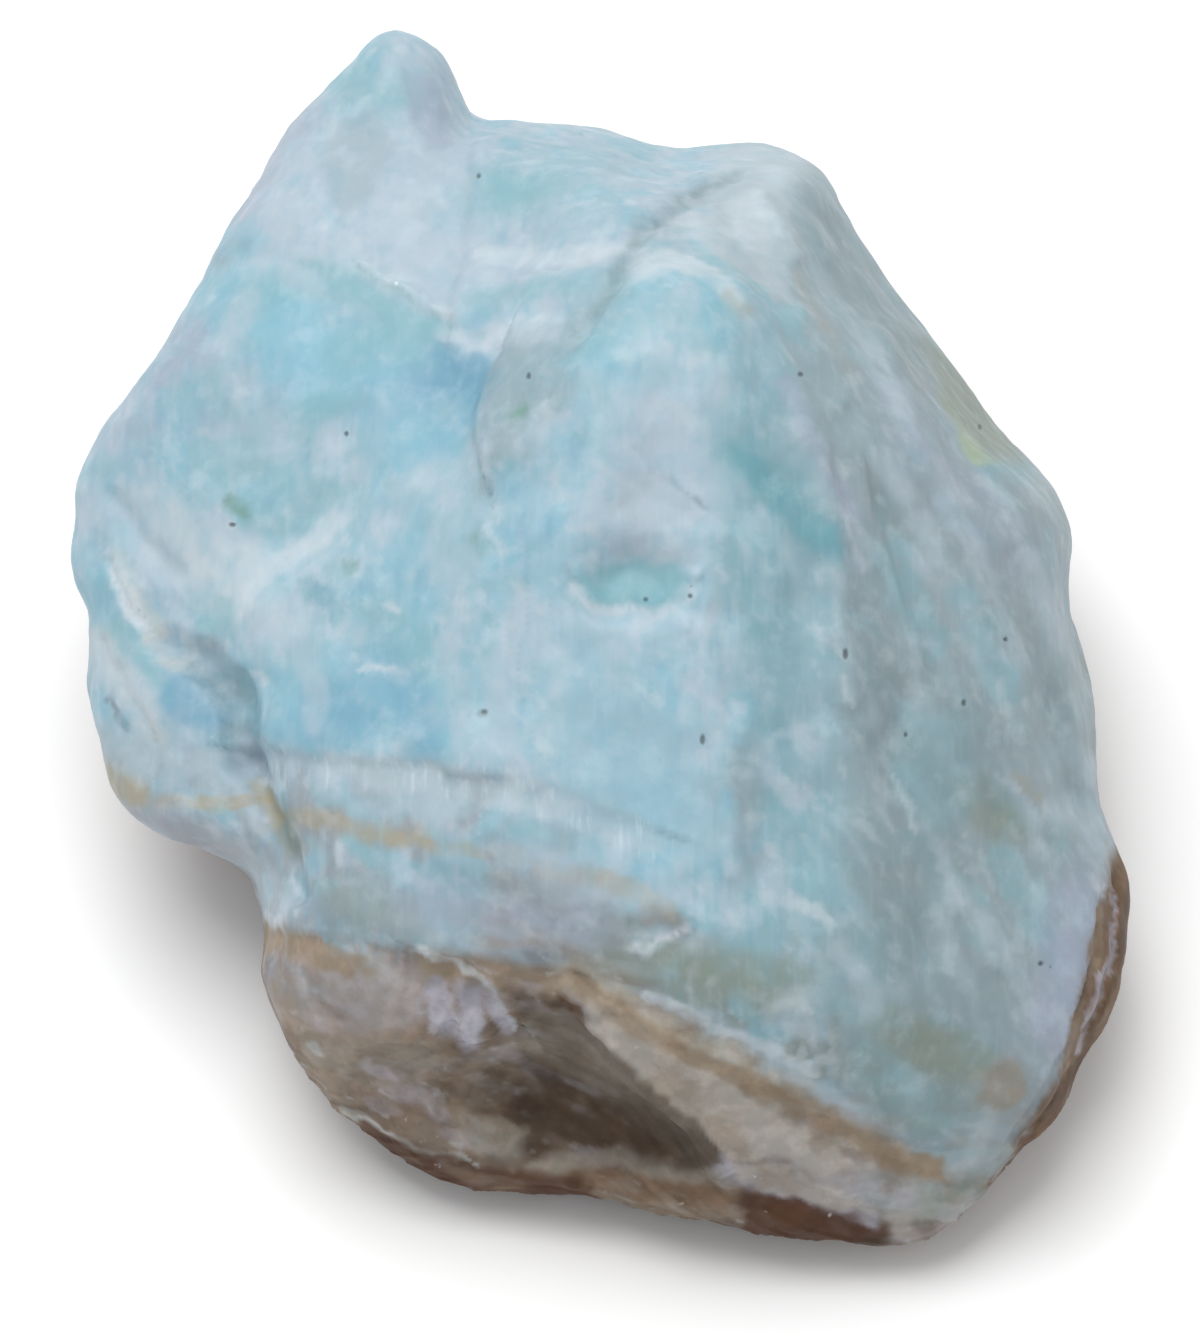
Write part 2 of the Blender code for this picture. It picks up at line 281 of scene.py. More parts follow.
# %% Nudge the outline
NUDGES = [
    ((-13.5, 40.3), (0.40, 1.47), 3.2),
    ((-15.2, 40.7), (-0.40, 0.80), 3.0),
    ((-10.7, 39.2), (0.53, 0.40), 2.0),
    ((-8.4, 36.4), (-0.27, -1.07), 2.2),
    ((-2.7, 35.5), (0.00, -0.60), 4.0),
    ((4.0, 34.3), (0.00, -0.80), 4.0),
    ((14.3, 32.7), (0.53, 0.53), 3.0),
    ((26.7, 15.7), (-0.93, -0.67), 4.5),
    ((23.0, 21.0), (-0.80, -0.60), 4.0),
    ((19.7, 25.0), (-0.53, -0.40), 3.5),
    ((32.0, 3.3), (-0.53, 0.00), 4.0),
    ((35.0, -12.0), (-1.33, 0.00), 4.5),
    ((35.7, -20.0), (-0.80, 0.27), 3.5),
    ((33.0, -27.7), (-1.20, 0.67), 3.8),
    ((28.3, -33.7), (-0.80, 0.67), 3.2),
    ((18.7, -39.0), (0.27, -1.20), 4.5),
    ((22.0, -38.0), (0.40, -0.67), 3.0),
    ((-10.7, -34.3), (0.00, -1.20), 4.5),
    ((-6.7, -35.3), (0.00, -0.53), 4.0),
    ((-24.5, -15.3), (1.47, 0.67), 3.0),
    ((-23.3, -18.7), (0.93, 0.27), 2.6),
    ((-33.9, -3.3), (-0.60, -0.27), 3.5),
    ((-32.5, -8.7), (-0.60, -0.13), 3.0),
    ((-34.8, 2.7), (0.47, 0.00), 1.4),
    ((-35.2, 6.0), (-0.27, 0.00), 1.6),
    ((-26.7, -13.3), (0.27, 0.27), 2.0),
]

points = skin_points(skin)
spots = faced(points)[:, :2]
pushes = np.zeros((len(points), 2))
for place, push, reach in NUDGES:
    gap = np.hypot(*(spots - np.array(place)).T)
    pushes += np.exp(-((gap / reach) ** 2))[:, None] * np.array(push)
ways = np.array([across_way, up_way])
above_floor = ease(0.0, 4.0, points[:, 2] / MM)
for vert, push, share in zip(skin.verts, pushes @ ways, above_floor):
    vert.co += Vector(push) * (share * MM)
print("nudges:", len(NUDGES), "longest in mm:", round(float(np.abs(pushes).max()), 2))

# %% [markdown]
# Break the back and the sides
#
# A stone like this is knocked off a larger lump, so the sides that no one polished show flat
# breaks. Each break is a plane: whatever stands out beyond it is pressed back onto it, a small
# part left over so that the edge stays soft. The broad side keeps its own shapes. Each row
# gives the way a plane faces, as a turn and a climb in degrees, and its depth in millimetres.

# %% Cut the breaks
BREAKS = [
    (62, 8, 1.1), (95, 30, 1.2), (118, 2, 1.3), (140, 34, 1.0), (165, 12, 1.5), (192, 38, 1.3),
    (215, 6, 1.2), (238, 30, 1.4), (262, 10, 1.1), (290, 26, 0.9), (180, -18, 0.8), (130, -14, 0.8),
    (245, -16, 0.8), (75, -12, 0.7),
]
LEFT_OVER = 0.12

points = skin_points(skin)
spared = ease(-0.25, 0.15, skin_normals(skin) @ np.array(out_way))
waver = 0.25 * noise_over(points, 4.0, 5)
for turn, climb, depth in BREAKS:
    turn, climb = math.radians(turn), math.radians(climb)
    level = math.cos(climb)
    way = np.array([math.sin(turn) * level, -math.cos(turn) * level, math.sin(climb)])
    reach = points @ way / MM
    over = np.clip(reach + waver - (reach.max() - depth), 0.0, None)
    points = points - np.outer(over * (1.0 - LEFT_OVER) * (1.0 - spared) * MM, way)
for vert, point in zip(skin.verts, points):
    if vert.co.z >= ON_FLOOR:
        vert.co = point
print("breaks:", len(BREAKS))

# %% [markdown]
# Smaller triangles where the marks are finest
#
# The front of the foot has crisp breaks, and the pits in the blue are only a third of a
# millimetre across. Long edges there are divided again, so that the marks have points to act on.
# Each pit has a place across and up, half a width and half a height.

# %% Divide the skin again at the foot and the pits
FOOT_OUTLINE = [
    (-25.0, -16.5), (-14.0, -18.0), (0.0, -19.5), (10.0, -24.0), (25.0, -33.0), (26.0, -41.0),
    (-5.0, -41.0), (-20.0, -33.0), (-26.0, -22.0),
]
PITS = [
    (-8.1, 31.6, 0.14, 0.16), (-16.8, 14.3, 0.12, 0.16), (-24.4, 8.3, 0.20, 0.14),
    (-4.7, 18.0, 0.13, 0.20), (16.1, -0.3, 0.16, 0.34), (6.7, -5.9, 0.15, 0.32),
    (24.0, -3.5, 0.14, 0.20), (26.8, 0.7, 0.12, 0.13), (29.1, -20.7, 0.16, 0.14),
    (13.2, 18.1, 0.16, 0.14), (3.0, 3.3, 0.13, 0.13), (5.9, 3.5, 0.13, 0.13),
    (-7.6, -4.1, 0.18, 0.14), (20.1, -5.6, 0.10, 0.16), (25.4, 14.9, 0.12, 0.16),
]
FOOT_EDGE = 0.34
PIT_EDGE = 0.15
PIT_REACH = 0.7

for longest, close_in in ((FOOT_EDGE, False), (PIT_EDGE, True), (PIT_EDGE, True)):
    skin.verts.ensure_lookup_table()
    ends = np.array([[v.index for v in edge.verts] for edge in skin.edges])
    points = skin_points(skin)
    turned = skin_normals(skin) @ np.array(out_way)
    middles = faced((points[ends[:, 0]] + points[ends[:, 1]]) / 2.0)[:, :2]
    lengths = np.linalg.norm(points[ends[:, 0]] - points[ends[:, 1]], axis=1) / MM
    if close_in:
        inside = np.zeros(len(ends), bool)
        for across, up, _, _ in PITS:
            inside |= np.hypot(middles[:, 0] - across, middles[:, 1] - up) < PIT_REACH
    else:
        inside = outline_distance(middles, FOOT_OUTLINE) < 0.0
    chosen = inside & (lengths > longest) & (turned[ends].min(axis=1) > 0.0)
    divide(skin, [edge for edge, wanted in zip(skin.edges, chosen) if wanted])
    skin.verts.index_update()
print("triangles in the skin:", len(skin.faces))

# %% [markdown]
# Ledges, grooves and broken edges
#
# Calcite breaks along flat planes and weathers into soft hollows. The larger marks are drawn one
# by one: a step raises one side of a line, a groove sinks it, a ridge lifts it and a dish scoops
# a round hollow. They act only where the skin faces the viewer.

# %% Cut the drawn marks into the skin
MARKS = [
    ("groove", 0.14, 0.9, [(-25.7, 27.3), (-18, 25.2), (-10.7, 21.9), (-6.7, 19.5)]),
    ("ridge", 0.3, 0.45, [(-15.9, 25.7), (-13, 24), (-10.3, 22.4)]),
    ("step", 0.5, 1.6, [(-6.7, 19.5), (-7.9, 17.2), (-8.5, 14.7), (-7.7, 12)]),
    ("groove", 0.4, 0.9, [(9, 31.3), (6, 29.9), (2.8, 27.9), (0.8, 24), (-1.7, 20), (-3.7, 16.7)]),
    ("step", 0.3, 1.5, [(9.2, 23.7), (6.7, 25.3), (2.7, 25.5), (-2.7, 24.9)]),
    ("ridge", 0.5, 1.4, [(9, 23.9), (11.3, 20), (13.3, 16.7), (15.3, 8), (16.3, -3.3)]),
    ("ridge", 0.35, 1.2, [(6.7, 3.3), (7.7, -6), (8.7, -14.7)]),
    ("step", 0.3, 0.6,
        [(-1.5, 4.3), (-0.8, 3.1), (0.8, 2.7), (2.1, 3.3), (3.5, 2.5), (4.8, 2.9), (5.9, 4.3)]),
    ("groove", 0.14, 0.25, [(2.4, 13.2), (4.1, 11.9), (6, 10), (7, 9.2)]),
    ("groove", 0.45, 1.3, [(-32.5, 10.1), (-30.7, 7.7), (-28.5, 5.2)]),
    ("groove", 1.05, 1.8, [(-28.8, 0.5), (-26.3, -1), (-24, -3.3), (-23.5, -7.3)]),
    ("groove", 0.9, 1.4, [(-23.5, -7.3), (-22, -10), (-20.7, -13.3), (-19.9, -16.1)]),
    ("ridge", 0.3, 0.5, [(-30.1, 0.9), (-28.5, -0.3), (-26.3, -1)]),
    ("groove", 0.3, 0.5, [(-32.7, 6), (-31.3, 2.7), (-29, 0)]),
    ("groove", 0.3, 0.5, [(-33.3, 0.7), (-31.3, -2.7), (-29.5, -5.9)]),
    ("step", 0.4, 1.2, [(-23.2, -6.5), (-17.3, -7), (-13.3, -7.3), (-8.7, -7.9)]),
    ("step", 0.3, 1.2, [(-8, -8.3), (-2.7, -9.2), (3.7, -11.7)]),
    ("step", 0.3, 1.0, [(-23, -18.3), (-18, -18.7), (-13.3, -19.6), (-8, -20), (-2, -21.2)]),
    ("ridge", 0.8, 1.2, [(-2.1, -22.3), (1.3, -26.7), (5.3, -30.7), (8.1, -34.4)]),
    ("dish", 0.7, 1.6, [(-1.7, -23.3), (0, -25.3)]),
    ("dish", 0.5, 1.4, [(-9.7, -21), (-8, -23.3)]),
    ("ridge", 0.4, 0.6, [(-10.7, -25.3), (-9.9, -23.3), (-8.7, -25.3), (-7.3, -25.7)]),
    ("step", 0.35, 1.0, [(-17.7, -29.7), (-13.3, -32.7), (-8.7, -34.5), (-2.3, -35.5)]),
    ("step", 0.35, 1.0, [(8.1, -34.4), (12.7, -35.2), (18, -37), (22, -37.7)]),
    ("ridge", 0.22, 0.7, [(0, -23.3), (6.7, -26.3), (13.3, -29.3), (18.7, -32.3), (23.3, -35.3)]),
    ("groove", 0.3, 0.4, [(33.2, -15.3), (33.1, -20), (30.8, -26), (26.7, -33.3)]),
    ("groove", 0.35, 0.4, [(34.5, -15.3), (34.1, -20.7), (31.9, -26.7), (28, -32.7)]),
    ("step", 0.4, 1.0, [(25.7, -35.3), (29.7, -30), (31.3, -25.3), (32.3, -19.3), (34.5, -13.3)]),
    ("dish", 0.5, 1.2, [(3.3, -18.3), (5.3, -18.8)]),
    ("facet", 1.7, 4.5,
        [(-6.1, -21.7), (-2.5, -22.5), (-0.6, -24.9), (2, -27.3), (5.9, -30.7), (8.3, -34),
         (5.3, -34.8), (0, -34), (-5.3, -34.8), (-8.7, -32.7), (-10.7, -29.3), (-8.7, -26)]),
    ("facet", 0.8, 2.5,
        [(-17, -26.7), (-11.3, -25.3), (-8.7, -28.7), (-9.3, -32.7), (-13.3, -32), (-16.7, -30)]),
    ("facet", 0.45, 0.7, [(-11.3, -21.7), (-9.7, -21.3), (-9.5, -24.7), (-10, -26), (-10.8, -25)]),
    ("facet", 0.45, 0.7, [(-9.2, -21.7), (-7.9, -22), (-7.7, -24.7), (-8.4, -26.1), (-9.1, -25)]),
    ("facet", 0.4, 0.6, [(-2.3, -22.9), (-0.8, -24), (-0.5, -24.9), (-1.5, -24.4)]),
    ("step", 0.4, 0.9, [(-12, -19.5), (-8.5, -21.1), (-7.1, -22.5), (-5.7, -24.9)]),
    ("facet", 0.5, 1.2,
        [(7.6, 30.7), (10.7, 31), (12.2, 27.3), (12.4, 23.3), (9.3, 24.5), (7.7, 27.3)]),
    ("facet", 0.35, 2.0, [(1.3, 11.9), (3.7, 12.3), (6.5, 9.3), (6, 8), (2.7, 7.7), (1, 9.3)]),
    ("facet", 0.5, 3.0,
        [(0, 6.8), (2.7, 7.3), (5.1, 6.3), (5.9, 4.3), (4.8, 2.9), (3.3, 2.7), (2, 3.3), (0.7, 2.9),
         (-0.8, 3.5), (-1.3, 5)]),
    ("dish", 0.5, 2.2, [(-20, -24), (-17.3, -27.3)]),
    ("groove", 0.4, 1.2, [(16.7, 15.3), (20, 6), (24, -7.3)]),
    ("ridge", 0.4, 1.4, [(18.7, 20.7), (22, 11.3), (26, 0.7), (29.3, -11.3)]),
    ("groove", 0.4, 1.4, [(18.7, -6), (20.3, -11.3), (22, -19.3)]),
    ("ridge", 0.35, 1.4, [(22, -3.3), (24.7, -11.3), (26, -20.7)]),
    ("groove", 0.35, 1.2, [(27.3, 6), (29.3, -0.7), (31.7, -10)]),
    ("ridge", 0.4, 1.6, [(13.3, 22), (16.7, 15.3), (18, 6)]),
    ("dish", 0.6, 3.0, [(13.3, 3.3), (13.3, -4.7)]),
    ("dish", 0.5, 3.0, [(17.3, 27.3), (18.7, 23.3)]),
    ("ridge", 0.4, 1.0, [(6.7, 31.3), (10.7, 30), (13.3, 26)]),
    ("step", 0.4, 1.4, [(-8.7, 36.7), (-8.3, 32.7), (-8.7, 28), (-9.7, 22.7)]),
    ("dish", 0.45, 2.4, [(-22, 9.3)]),
    ("dish", 0.4, 2.6, [(-17.3, 21.3), (-13.3, 20)]),
    ("dish", 0.45, 3.2, [(-13.3, 0.7), (-12, 6)]),
    ("ridge", 0.25, 0.5, [(2, -19.3), (3.3, -19.7), (6, -18.1)]),
]


def mark_height(kind, height, width, path, spots):
    gap, side = path_distance(spots, path)
    near = 1.0 - ease(0.0, width, gap)
    if kind == "groove":
        return -height * near
    if kind == "ridge":
        return height * near
    if kind == "dish":
        return -height * (1.0 - ease(0.0, width * 1.6, gap) ** 0.8)
    if kind == "facet":
        inside = np.clip(-outline_distance(spots, path) / width, 0.0, 1.0)
        return -height * inside ** 0.8
    rise = ease(-0.5, 0.5, gap * side)
    fade = 1.0 - ease(width, width * 3.0, gap)
    return height * (rise - 0.5) * fade


def press(shape, heights_mm):
    """Moves each point along its normal; the flat spot stays where it is."""
    normals = skin_normals(shape)
    for vert, normal, height in zip(shape.verts, normals, heights_mm):
        if vert.co.z >= ON_FLOOR:
            vert.co += Vector(normal) * (height * MM)
            vert.co.z = max(vert.co.z, 0.02 * MM)


points = skin_points(skin)
front = ease(-0.1, 0.35, skin_normals(skin) @ np.array(out_way))
spots = wavered(points, 2.2, 0.35, 11)
lift = np.zeros(len(points))
for kind, height, width, path in MARKS:
    lift += mark_height(kind, height, width, path, spots)
press(skin, lift * front)
print("drawn marks:", len(MARKS))

# %% [markdown]
# Layers in the foot
#
# The brown foot grew in thin beds, one on the other, before the blue calcite covered it. The
# beds break unevenly and stand out as small ledges all the way round. How high the foot reaches
# is a soft hill: highest at the front, low at the sides and the back. The whole stone also gets
# soft lumps of three sizes, and the pits are sunk into it.

# %% Ledges of the foot and the grain of the whole stone
FOOT_LEVEL = 8.0
FOOT_HILL = 13.0
BED_THICKNESS = 1.9
BED_STEP = 0.13
BED_TILT = 0.07
CRUMB = 0.14
LUMPS = [(6.0, 0.34, 33), (2.6, 0.16, 34), (1.1, 0.06, 35)]
PIT_DEPTH = 0.13
PIT_SHADE = 0.7


def above_foot(points):
    """Height above the top of the brown foot, in millimetres."""
    x, y, z = (points / MM).T
    hill = FOOT_HILL * np.exp(-((x + 4.0) / 13.0) ** 2) * ease(-8.0, -24.0, y)
    waver = 1.3 * noise_over(points, 9.0, 21) + 0.5 * noise_over(points, 2.6, 22)
    return z - FOOT_LEVEL - hill + waver


points = skin_points(skin)
over = above_foot(points)
in_foot = 1.0 - ease(-1.0, 1.5, over)
bed = (over + BED_TILT * points[:, 0] / MM) / BED_THICKNESS
ledge = (bed - np.floor(bed)) ** 2 - 0.4
rough = np.abs(noise_over(points, 2.4, 31)) + 0.5 * np.abs(noise_over(points, 1.1, 32))
lumps = sum(height * noise_over(points, size, seed) for size, height, seed in LUMPS)
press(skin, in_foot * (BED_STEP * ledge + CRUMB * (rough - 0.35)) + lumps)
print("share of the skin in the foot:", round(float(in_foot.mean()), 2))


def pit_cover(points, normals):
    """1 inside a pit and 0 a little way out of it."""
    cover = np.zeros(len(points))
    seen = faced(points)[:, :2]
    for across, up, wide, high in PITS:
        gap = np.hypot((seen[:, 0] - across) / wide, (seen[:, 1] - up) / high)
        cover = np.maximum(cover, 1.0 - ease(0.6, 1.5, gap))
    return cover * (normals @ np.array(out_way) > 0.0)


press(skin, -PIT_DEPTH * pit_cover(skin_points(skin), skin_normals(skin)))
print("pits:", len(PITS))

# %% [markdown]
# The colours of the stone
#
# The blue comes from thin grains of another mineral inside white calcite, and iron stains the
# foot brown. The tones are kept as plain red, green and blue numbers of 0 to 255, the way a
# paint chart gives them, and turned into light values once. They are taken down a little,
# because the lamp and the surround together brighten the stone.

# %% Mix the tones
# Ridge shade and the dark foot brown carry painted shade, and light stone painted light on the foot's
# slope.
TONES = {
    "milk blue": (171, 191, 204), "milk": (184, 199, 210), "white": (205, 215, 222),
    "comb white": (192, 208, 217), "cream": (192, 197, 194),
    "blue": (157, 191, 204), "sky": (138, 188, 205), "bright blue": (159, 194, 209),
    "deep blue": (118, 166, 190), "lobe blue": (158, 184, 198), "plateau": (148, 170, 178),
    "teal veil": (138, 182, 192), "deep teal": (112, 164, 176), "teal": (146, 177, 187),
    "grey teal": (151, 167, 173), "sea green": (126, 162, 154),
    "slate": (130, 150, 156), "grey veil": (150, 172, 180), "apex grey": (178, 192, 200),
    "grey": (148, 160, 168), "lilac": (164, 172, 190), "lavender": (172, 171, 182),
    "olive": (138, 150, 140), "olive grey": (128, 140, 136), "yellow green": (158, 176, 150),
    "sand": (168, 162, 148), "ochre": (170, 162, 140), "tan": (150, 134, 114),
    "tan grey": (156, 149, 142), "stone grey": (146, 141, 132), "light stone": (174, 168, 160),
    "brown": (132, 118, 105), "dark brown and shade": (88, 73, 57), "rim brown": (112, 86, 62),
    "ridge shade": (106, 98, 88), "umber": (66, 49, 34), "rust": (78, 47, 26), "pit": (66, 76, 74),
}


def light_values(tone):
    share = np.array(tone) / 255.0
    return np.where(share <= 0.04045, share / 12.92, ((share + 0.055) / 1.055) ** 2.4)


PAINT_SHARE = 0.82
TONE_LIGHT = {name: PAINT_SHARE * light_values(tone) for name, tone in TONES.items()}
print("tones:", len(TONE_LIGHT))

# %% [markdown]
# Paint the layers right round
#
# Someone may look at the stone from any side, so the first coat follows its growth: dark foot,
# tan seam, clear grey-blue, blue, and milky white at the top. The tones change with the height
# above the foot, and noise bends the seams.

# %% First coat, by height above the foot
LADDER = [
    (-9.0, "umber"), (-6.0, "brown"), (-4.5, "rim brown"), (-3.0, "lavender"), (-2.2, "brown"),
    (-0.8, "tan"), (0.8, "sand"), (2.2, "grey"), (5.0, "lilac"), (7.0, "grey veil"),
    (10.0, "bright blue"), (13.0, "milk blue"), (15.5, "blue"), (19.0, "teal veil"),
    (22.0, "milk blue"), (27.0, "blue"), (31.0, "milk blue"),
]


def laid_over(colours, name, cover):
    return colours + (TONE_LIGHT[name] - colours) * cover[:, None]


points = skin_points(skin)
normals = skin_normals(skin)
over = above_foot(points) + 1.2 * noise_over(points, 5.0, 41)
colours = np.tile(TONE_LIGHT[LADDER[0][1]], (len(points), 1))
for (low, _), (high, name) in zip(LADDER, LADDER[1:]):
    colours = laid_over(colours, name, ease(low, high, over))
blue_part = ease(3.0, 8.0, over)
right_side = ease(6.0, 24.0, points[:, 0] / MM + 3.0 * noise_over(points, 8.0, 42))
colours = laid_over(colours, "grey teal", 0.7 * right_side * blue_part)
clouds = noise_over(points, 7.0, 43) + 0.6 * noise_over(points, 3.0, 44)
colours = laid_over(colours, "milk", 0.35 * ease(0.15, 0.6, clouds) * blue_part)
colours = laid_over(colours, "teal veil", 0.35 * ease(0.15, 0.6, -clouds) * blue_part)
print("bands in the first coat:", len(LADDER))

# %% [markdown]
# Paint the broad side
#
# The broad side has faces that each have a tone of their own. Their outlines are listed as
# corners, in millimetres across and up, with a soft edge. They fade out round the rim, where
# the first coat takes over.

# %% Lay the faces
FIELDS = [
    ("milk blue", 1.0, 2.6,
        [(-13.7, 42), (-10, 40.7), (-8.3, 37), (0, 36), (9, 34), (6.7, 30.3), (2.7, 27.9), (0, 24),
         (-6.7, 19.7), (-10.7, 22.1), (-18, 25.3), (-25.7, 27.3), (-24, 33.3), (-19.3, 39.3)]),
    ("blue", 1.0, 2.2,
        [(-25.7, 27.3), (-18, 25.3), (-10.7, 22.1), (-6.7, 19.7), (-8.1, 11.3), (-8.7, 3.3),
         (-8.3, -7.7), (-23.3, -6.3), (-24.3, -2.7), (-28, 3.3), (-32.7, 10), (-34, 13.3),
         (-27.3, 26)]),
    ("bright blue", 1.0, 1.0,
        [(9, 24), (2.7, 25.9), (-2.7, 21.3), (-6.7, 11.3), (-8.3, 3.3), (-8.3, -7.7), (-2.7, -14),
         (8, -14.7), (9.3, -3.3), (6.7, 3.3), (9, 14)]),
    ("grey veil", 0.9, 0.7,
        [(-6.7, 19.7), (-2.7, 21.7), (0.7, 24), (-1.7, 16.7), (-4.7, 12), (-8, 10), (-8.7, 14),
         (-8, 17)]),
    ("apex grey", 0.95, 0.8,
        [(6, 30), (8.7, 34.3), (14.7, 33.3), (14, 26.7), (12.8, 22), (9.3, 23.9), (6.7, 25.6),
         (2.7, 26), (2.7, 27.9)]),
    ("teal", 1.0, 2.2,
        [(9, 24), (12.7, 22.3), (15.3, 8), (16.3, -3.3), (16.7, -17), (8, -16.7), (9, -3.3),
         (6.7, 3.3), (9, 14)]),
    ("grey teal", 1.0, 2.0,
        [(12.7, 22.3), (14.3, 33.3), (21.3, 24.7), (29.3, 14.7), (32.7, 8.7), (33.3, 0.7),
         (35, -7.3), (35.2, -14), (32.3, -19.3), (30, -30), (24.3, -35.7), (18, -32), (6.7, -24),
         (3.3, -18.7), (16.7, -17), (16.3, -3.3), (15.3, 8)]),
    ("lobe blue", 1.0, 0.8,
        [(-36, 6), (-35, 12), (-32.3, 10), (-28.7, 5.3), (-24.3, -0.7), (-23.7, -7.7), (-26.7, -8),
         (-30, -6.3), (-34.3, -4.7), (-35.7, 0.7)]),
    ("grey", 1.0, 1.0,
        [(-34, -6), (-30, -6.8), (-23.3, -6.5), (-8.3, -8), (-2.7, -14.3), (3.3, -18.7), (-2, -21.2),
         (-13.3, -19.5), (-24, -18.3), (-24.7, -15.3), (-31.3, -12), (-34, -9.3)]),
    ("brown", 1.0, 0.5,
        [(-25, -17.7), (-20, -18.5), (-13.3, -19.5), (-8, -19.9), (-2, -21.3), (1.3, -26.7),
         (8, -34.3), (13.3, -36), (18.7, -40.7), (10.7, -40.7), (-2.7, -37.7), (-13.3, -36),
         (-20, -30.7), (-24, -23.3)]),
    ("tan grey", 1.0, 0.7,
        [(-2, -21), (6.7, -24.3), (18, -31.7), (24.7, -35.7), (22.7, -40), (18, -39.3), (8, -34.3),
         (1.3, -26.7)]),
    # The dark face of the foot: partly its own dark brown and partly painted shade.
    ("dark brown and shade", 0.85, 0.25,
        [(-4.8, -23.3), (-2.5, -22.9), (-0.6, -24.9), (2, -27.3), (5.9, -30.7), (8.3, -34),
         (6, -34.5), (0, -33.3), (-4, -33.9), (-6.7, -31.3), (-5.3, -28), (-5.7, -24.9)]),
    ("olive grey", 0.7, 0.8,
        [(-1.3, -19.9), (4, -19.2), (12, -21.2), (17.3, -25.3), (20, -27.3), (26.7, -26.7),
         (27.3, -30), (22, -32), (17.3, -30.3), (8, -24.3), (0, -21.7)]),
    ("rim brown", 1.0, 0.5,
        [(34.5, -12.7), (36.7, -16.7), (36.3, -22.7), (32, -30.7), (26.7, -36.7), (25.7, -35.2),
         (29.7, -30), (31.2, -25.3), (32.2, -19.3)]),
]

front = ease(-0.3, 0.0, normals @ np.array(out_way))
spots = wavered(points, 2.2, 0.35, 11)
spots = spots + wavered(points, 0.9, 0.3, 53) - faced(points)[:, :2]
straight = faced(points)[:, :2]
for name, strength, softness, outline in FIELDS:
    gap = outline_distance(straight + (spots - straight) * min(1.0, softness / 0.8), outline)
    colours = laid_over(colours, name, strength * front * (1.0 - ease(-softness, softness, gap)))
print("faces laid:", len(FIELDS))

# %% [markdown]
# Veils of milk and teal
#
# Between the named marks the colour still changes every few millimetres. Noise that is drawn
# out along one direction makes these veils: upright ones on the left, where the fibres stand,
# and slanted ones on the right. Each row gives a tone, its cover, the width and length of the
# veils, their turn, and the noise value where they start.

# %% Draw the veils
VEILS = [
    ("left", "milk", 0.55, 2.4, 4.0, 10, 0.10), ("left", "sky", 0.55, 2.6, 3.4, -20, 0.12),
    ("left", "teal veil", 0.45, 1.6, 2.6, 60, 0.18), ("left", "white", 0.35, 0.9, 1.5, 30, 0.22),
    ("left", "milk", 0.30, 0.45, 3.2, 2, 0.12), ("left", "deep blue", 0.25, 0.5, 3.6, -3, 0.20),
    ("right", "milk", 0.35, 1.3, 5.0, 32, 0.14), ("right", "grey veil", 0.40, 2.2, 6.0, 30, 0.10),
    ("right", "slate", 0.28, 1.8, 5.5, 27, 0.12), ("right", "teal veil", 0.30, 1.6, 3.4, 40, 0.18),
    ("right", "white", 0.25, 0.6, 1.6, 30, 0.28), ("foot", "umber", 0.30, 1.8, 5.0, 75, 0.10),
    ("foot", "lavender", 0.35, 1.4, 3.4, 75, 0.16), ("foot", "tan", 0.40, 1.2, 5.0, 78, 0.12),
    ("foot", "rust", 0.25, 0.8, 4.0, 80, 0.22), ("foot", "white", 0.25, 0.5, 1.2, 70, 0.34),
]


def drawn_out_noise(points, width, length, turn, seed):
    """Noise whose lumps are longer along a direction turned from straight up the broad side."""
    across, up, out = faced(points).T
    angle = math.radians(turn)
    along = up * math.cos(angle) - across * math.sin(angle)
    aside = across * math.cos(angle) + up * math.sin(angle)
    inward = 2.0 * out / (width + length)
    return noise_over(np.stack([aside / width, along / length, inward], axis=1) * MM, 1.0, seed)


where_left = 1.0 - ease(11.0, 15.0, spots[:, 0] + 0.12 * spots[:, 1])
regions = {
    "left": where_left * blue_part,
    "right": (1.0 - where_left) * blue_part,
    "foot": 1.0 - blue_part,
}
for seed, (region, name, strength, width, length, turn, start) in enumerate(VEILS):
    veil = ease(start, start + 0.22, drawn_out_noise(points, width, length, turn, 70 + seed))
    colours = laid_over(colours, name, strength * regions[region] * veil)
print("veils drawn:", len(VEILS))

# %% [markdown]
# Brush the marks on
#
# The marks that make this stone this stone are drawn one by one. Each stroke has a tone, how
# much it covers, half its width, how soft its edge is, and its path. A path that ends where it
# starts is filled in, and its width only swells it. Noise breaks the strokes up, since a vein
# in stone comes and goes.

# %% A brush that follows a path
broken = 0.5 + 0.5 * ease(-0.45, 0.2, noise_over(points, 1.8, 61) + 0.5 * noise_over(points, 0.7, 62))


def brushed(colours, strokes):
    """The colours with each stroke laid over them in turn."""
    for name, strength, width, softness, path in strokes:
        if path[0] == path[-1]:
            edge = outline_distance(spots, path[:-1]) - width
            cover = (1.0 - ease(-softness, softness, edge)) * broken ** 0.25
        else:
            gap, _ = path_distance(spots, path)
            cover = broken * (1.0 - ease(width * (1.0 - softness), width * (1.0 + softness), gap))
        colours = laid_over(colours, name, strength * front * cover)
    print("strokes laid:", len(strokes))
    return colours


print("share of the skin that faces the brush:", round(float(front.mean()), 2))
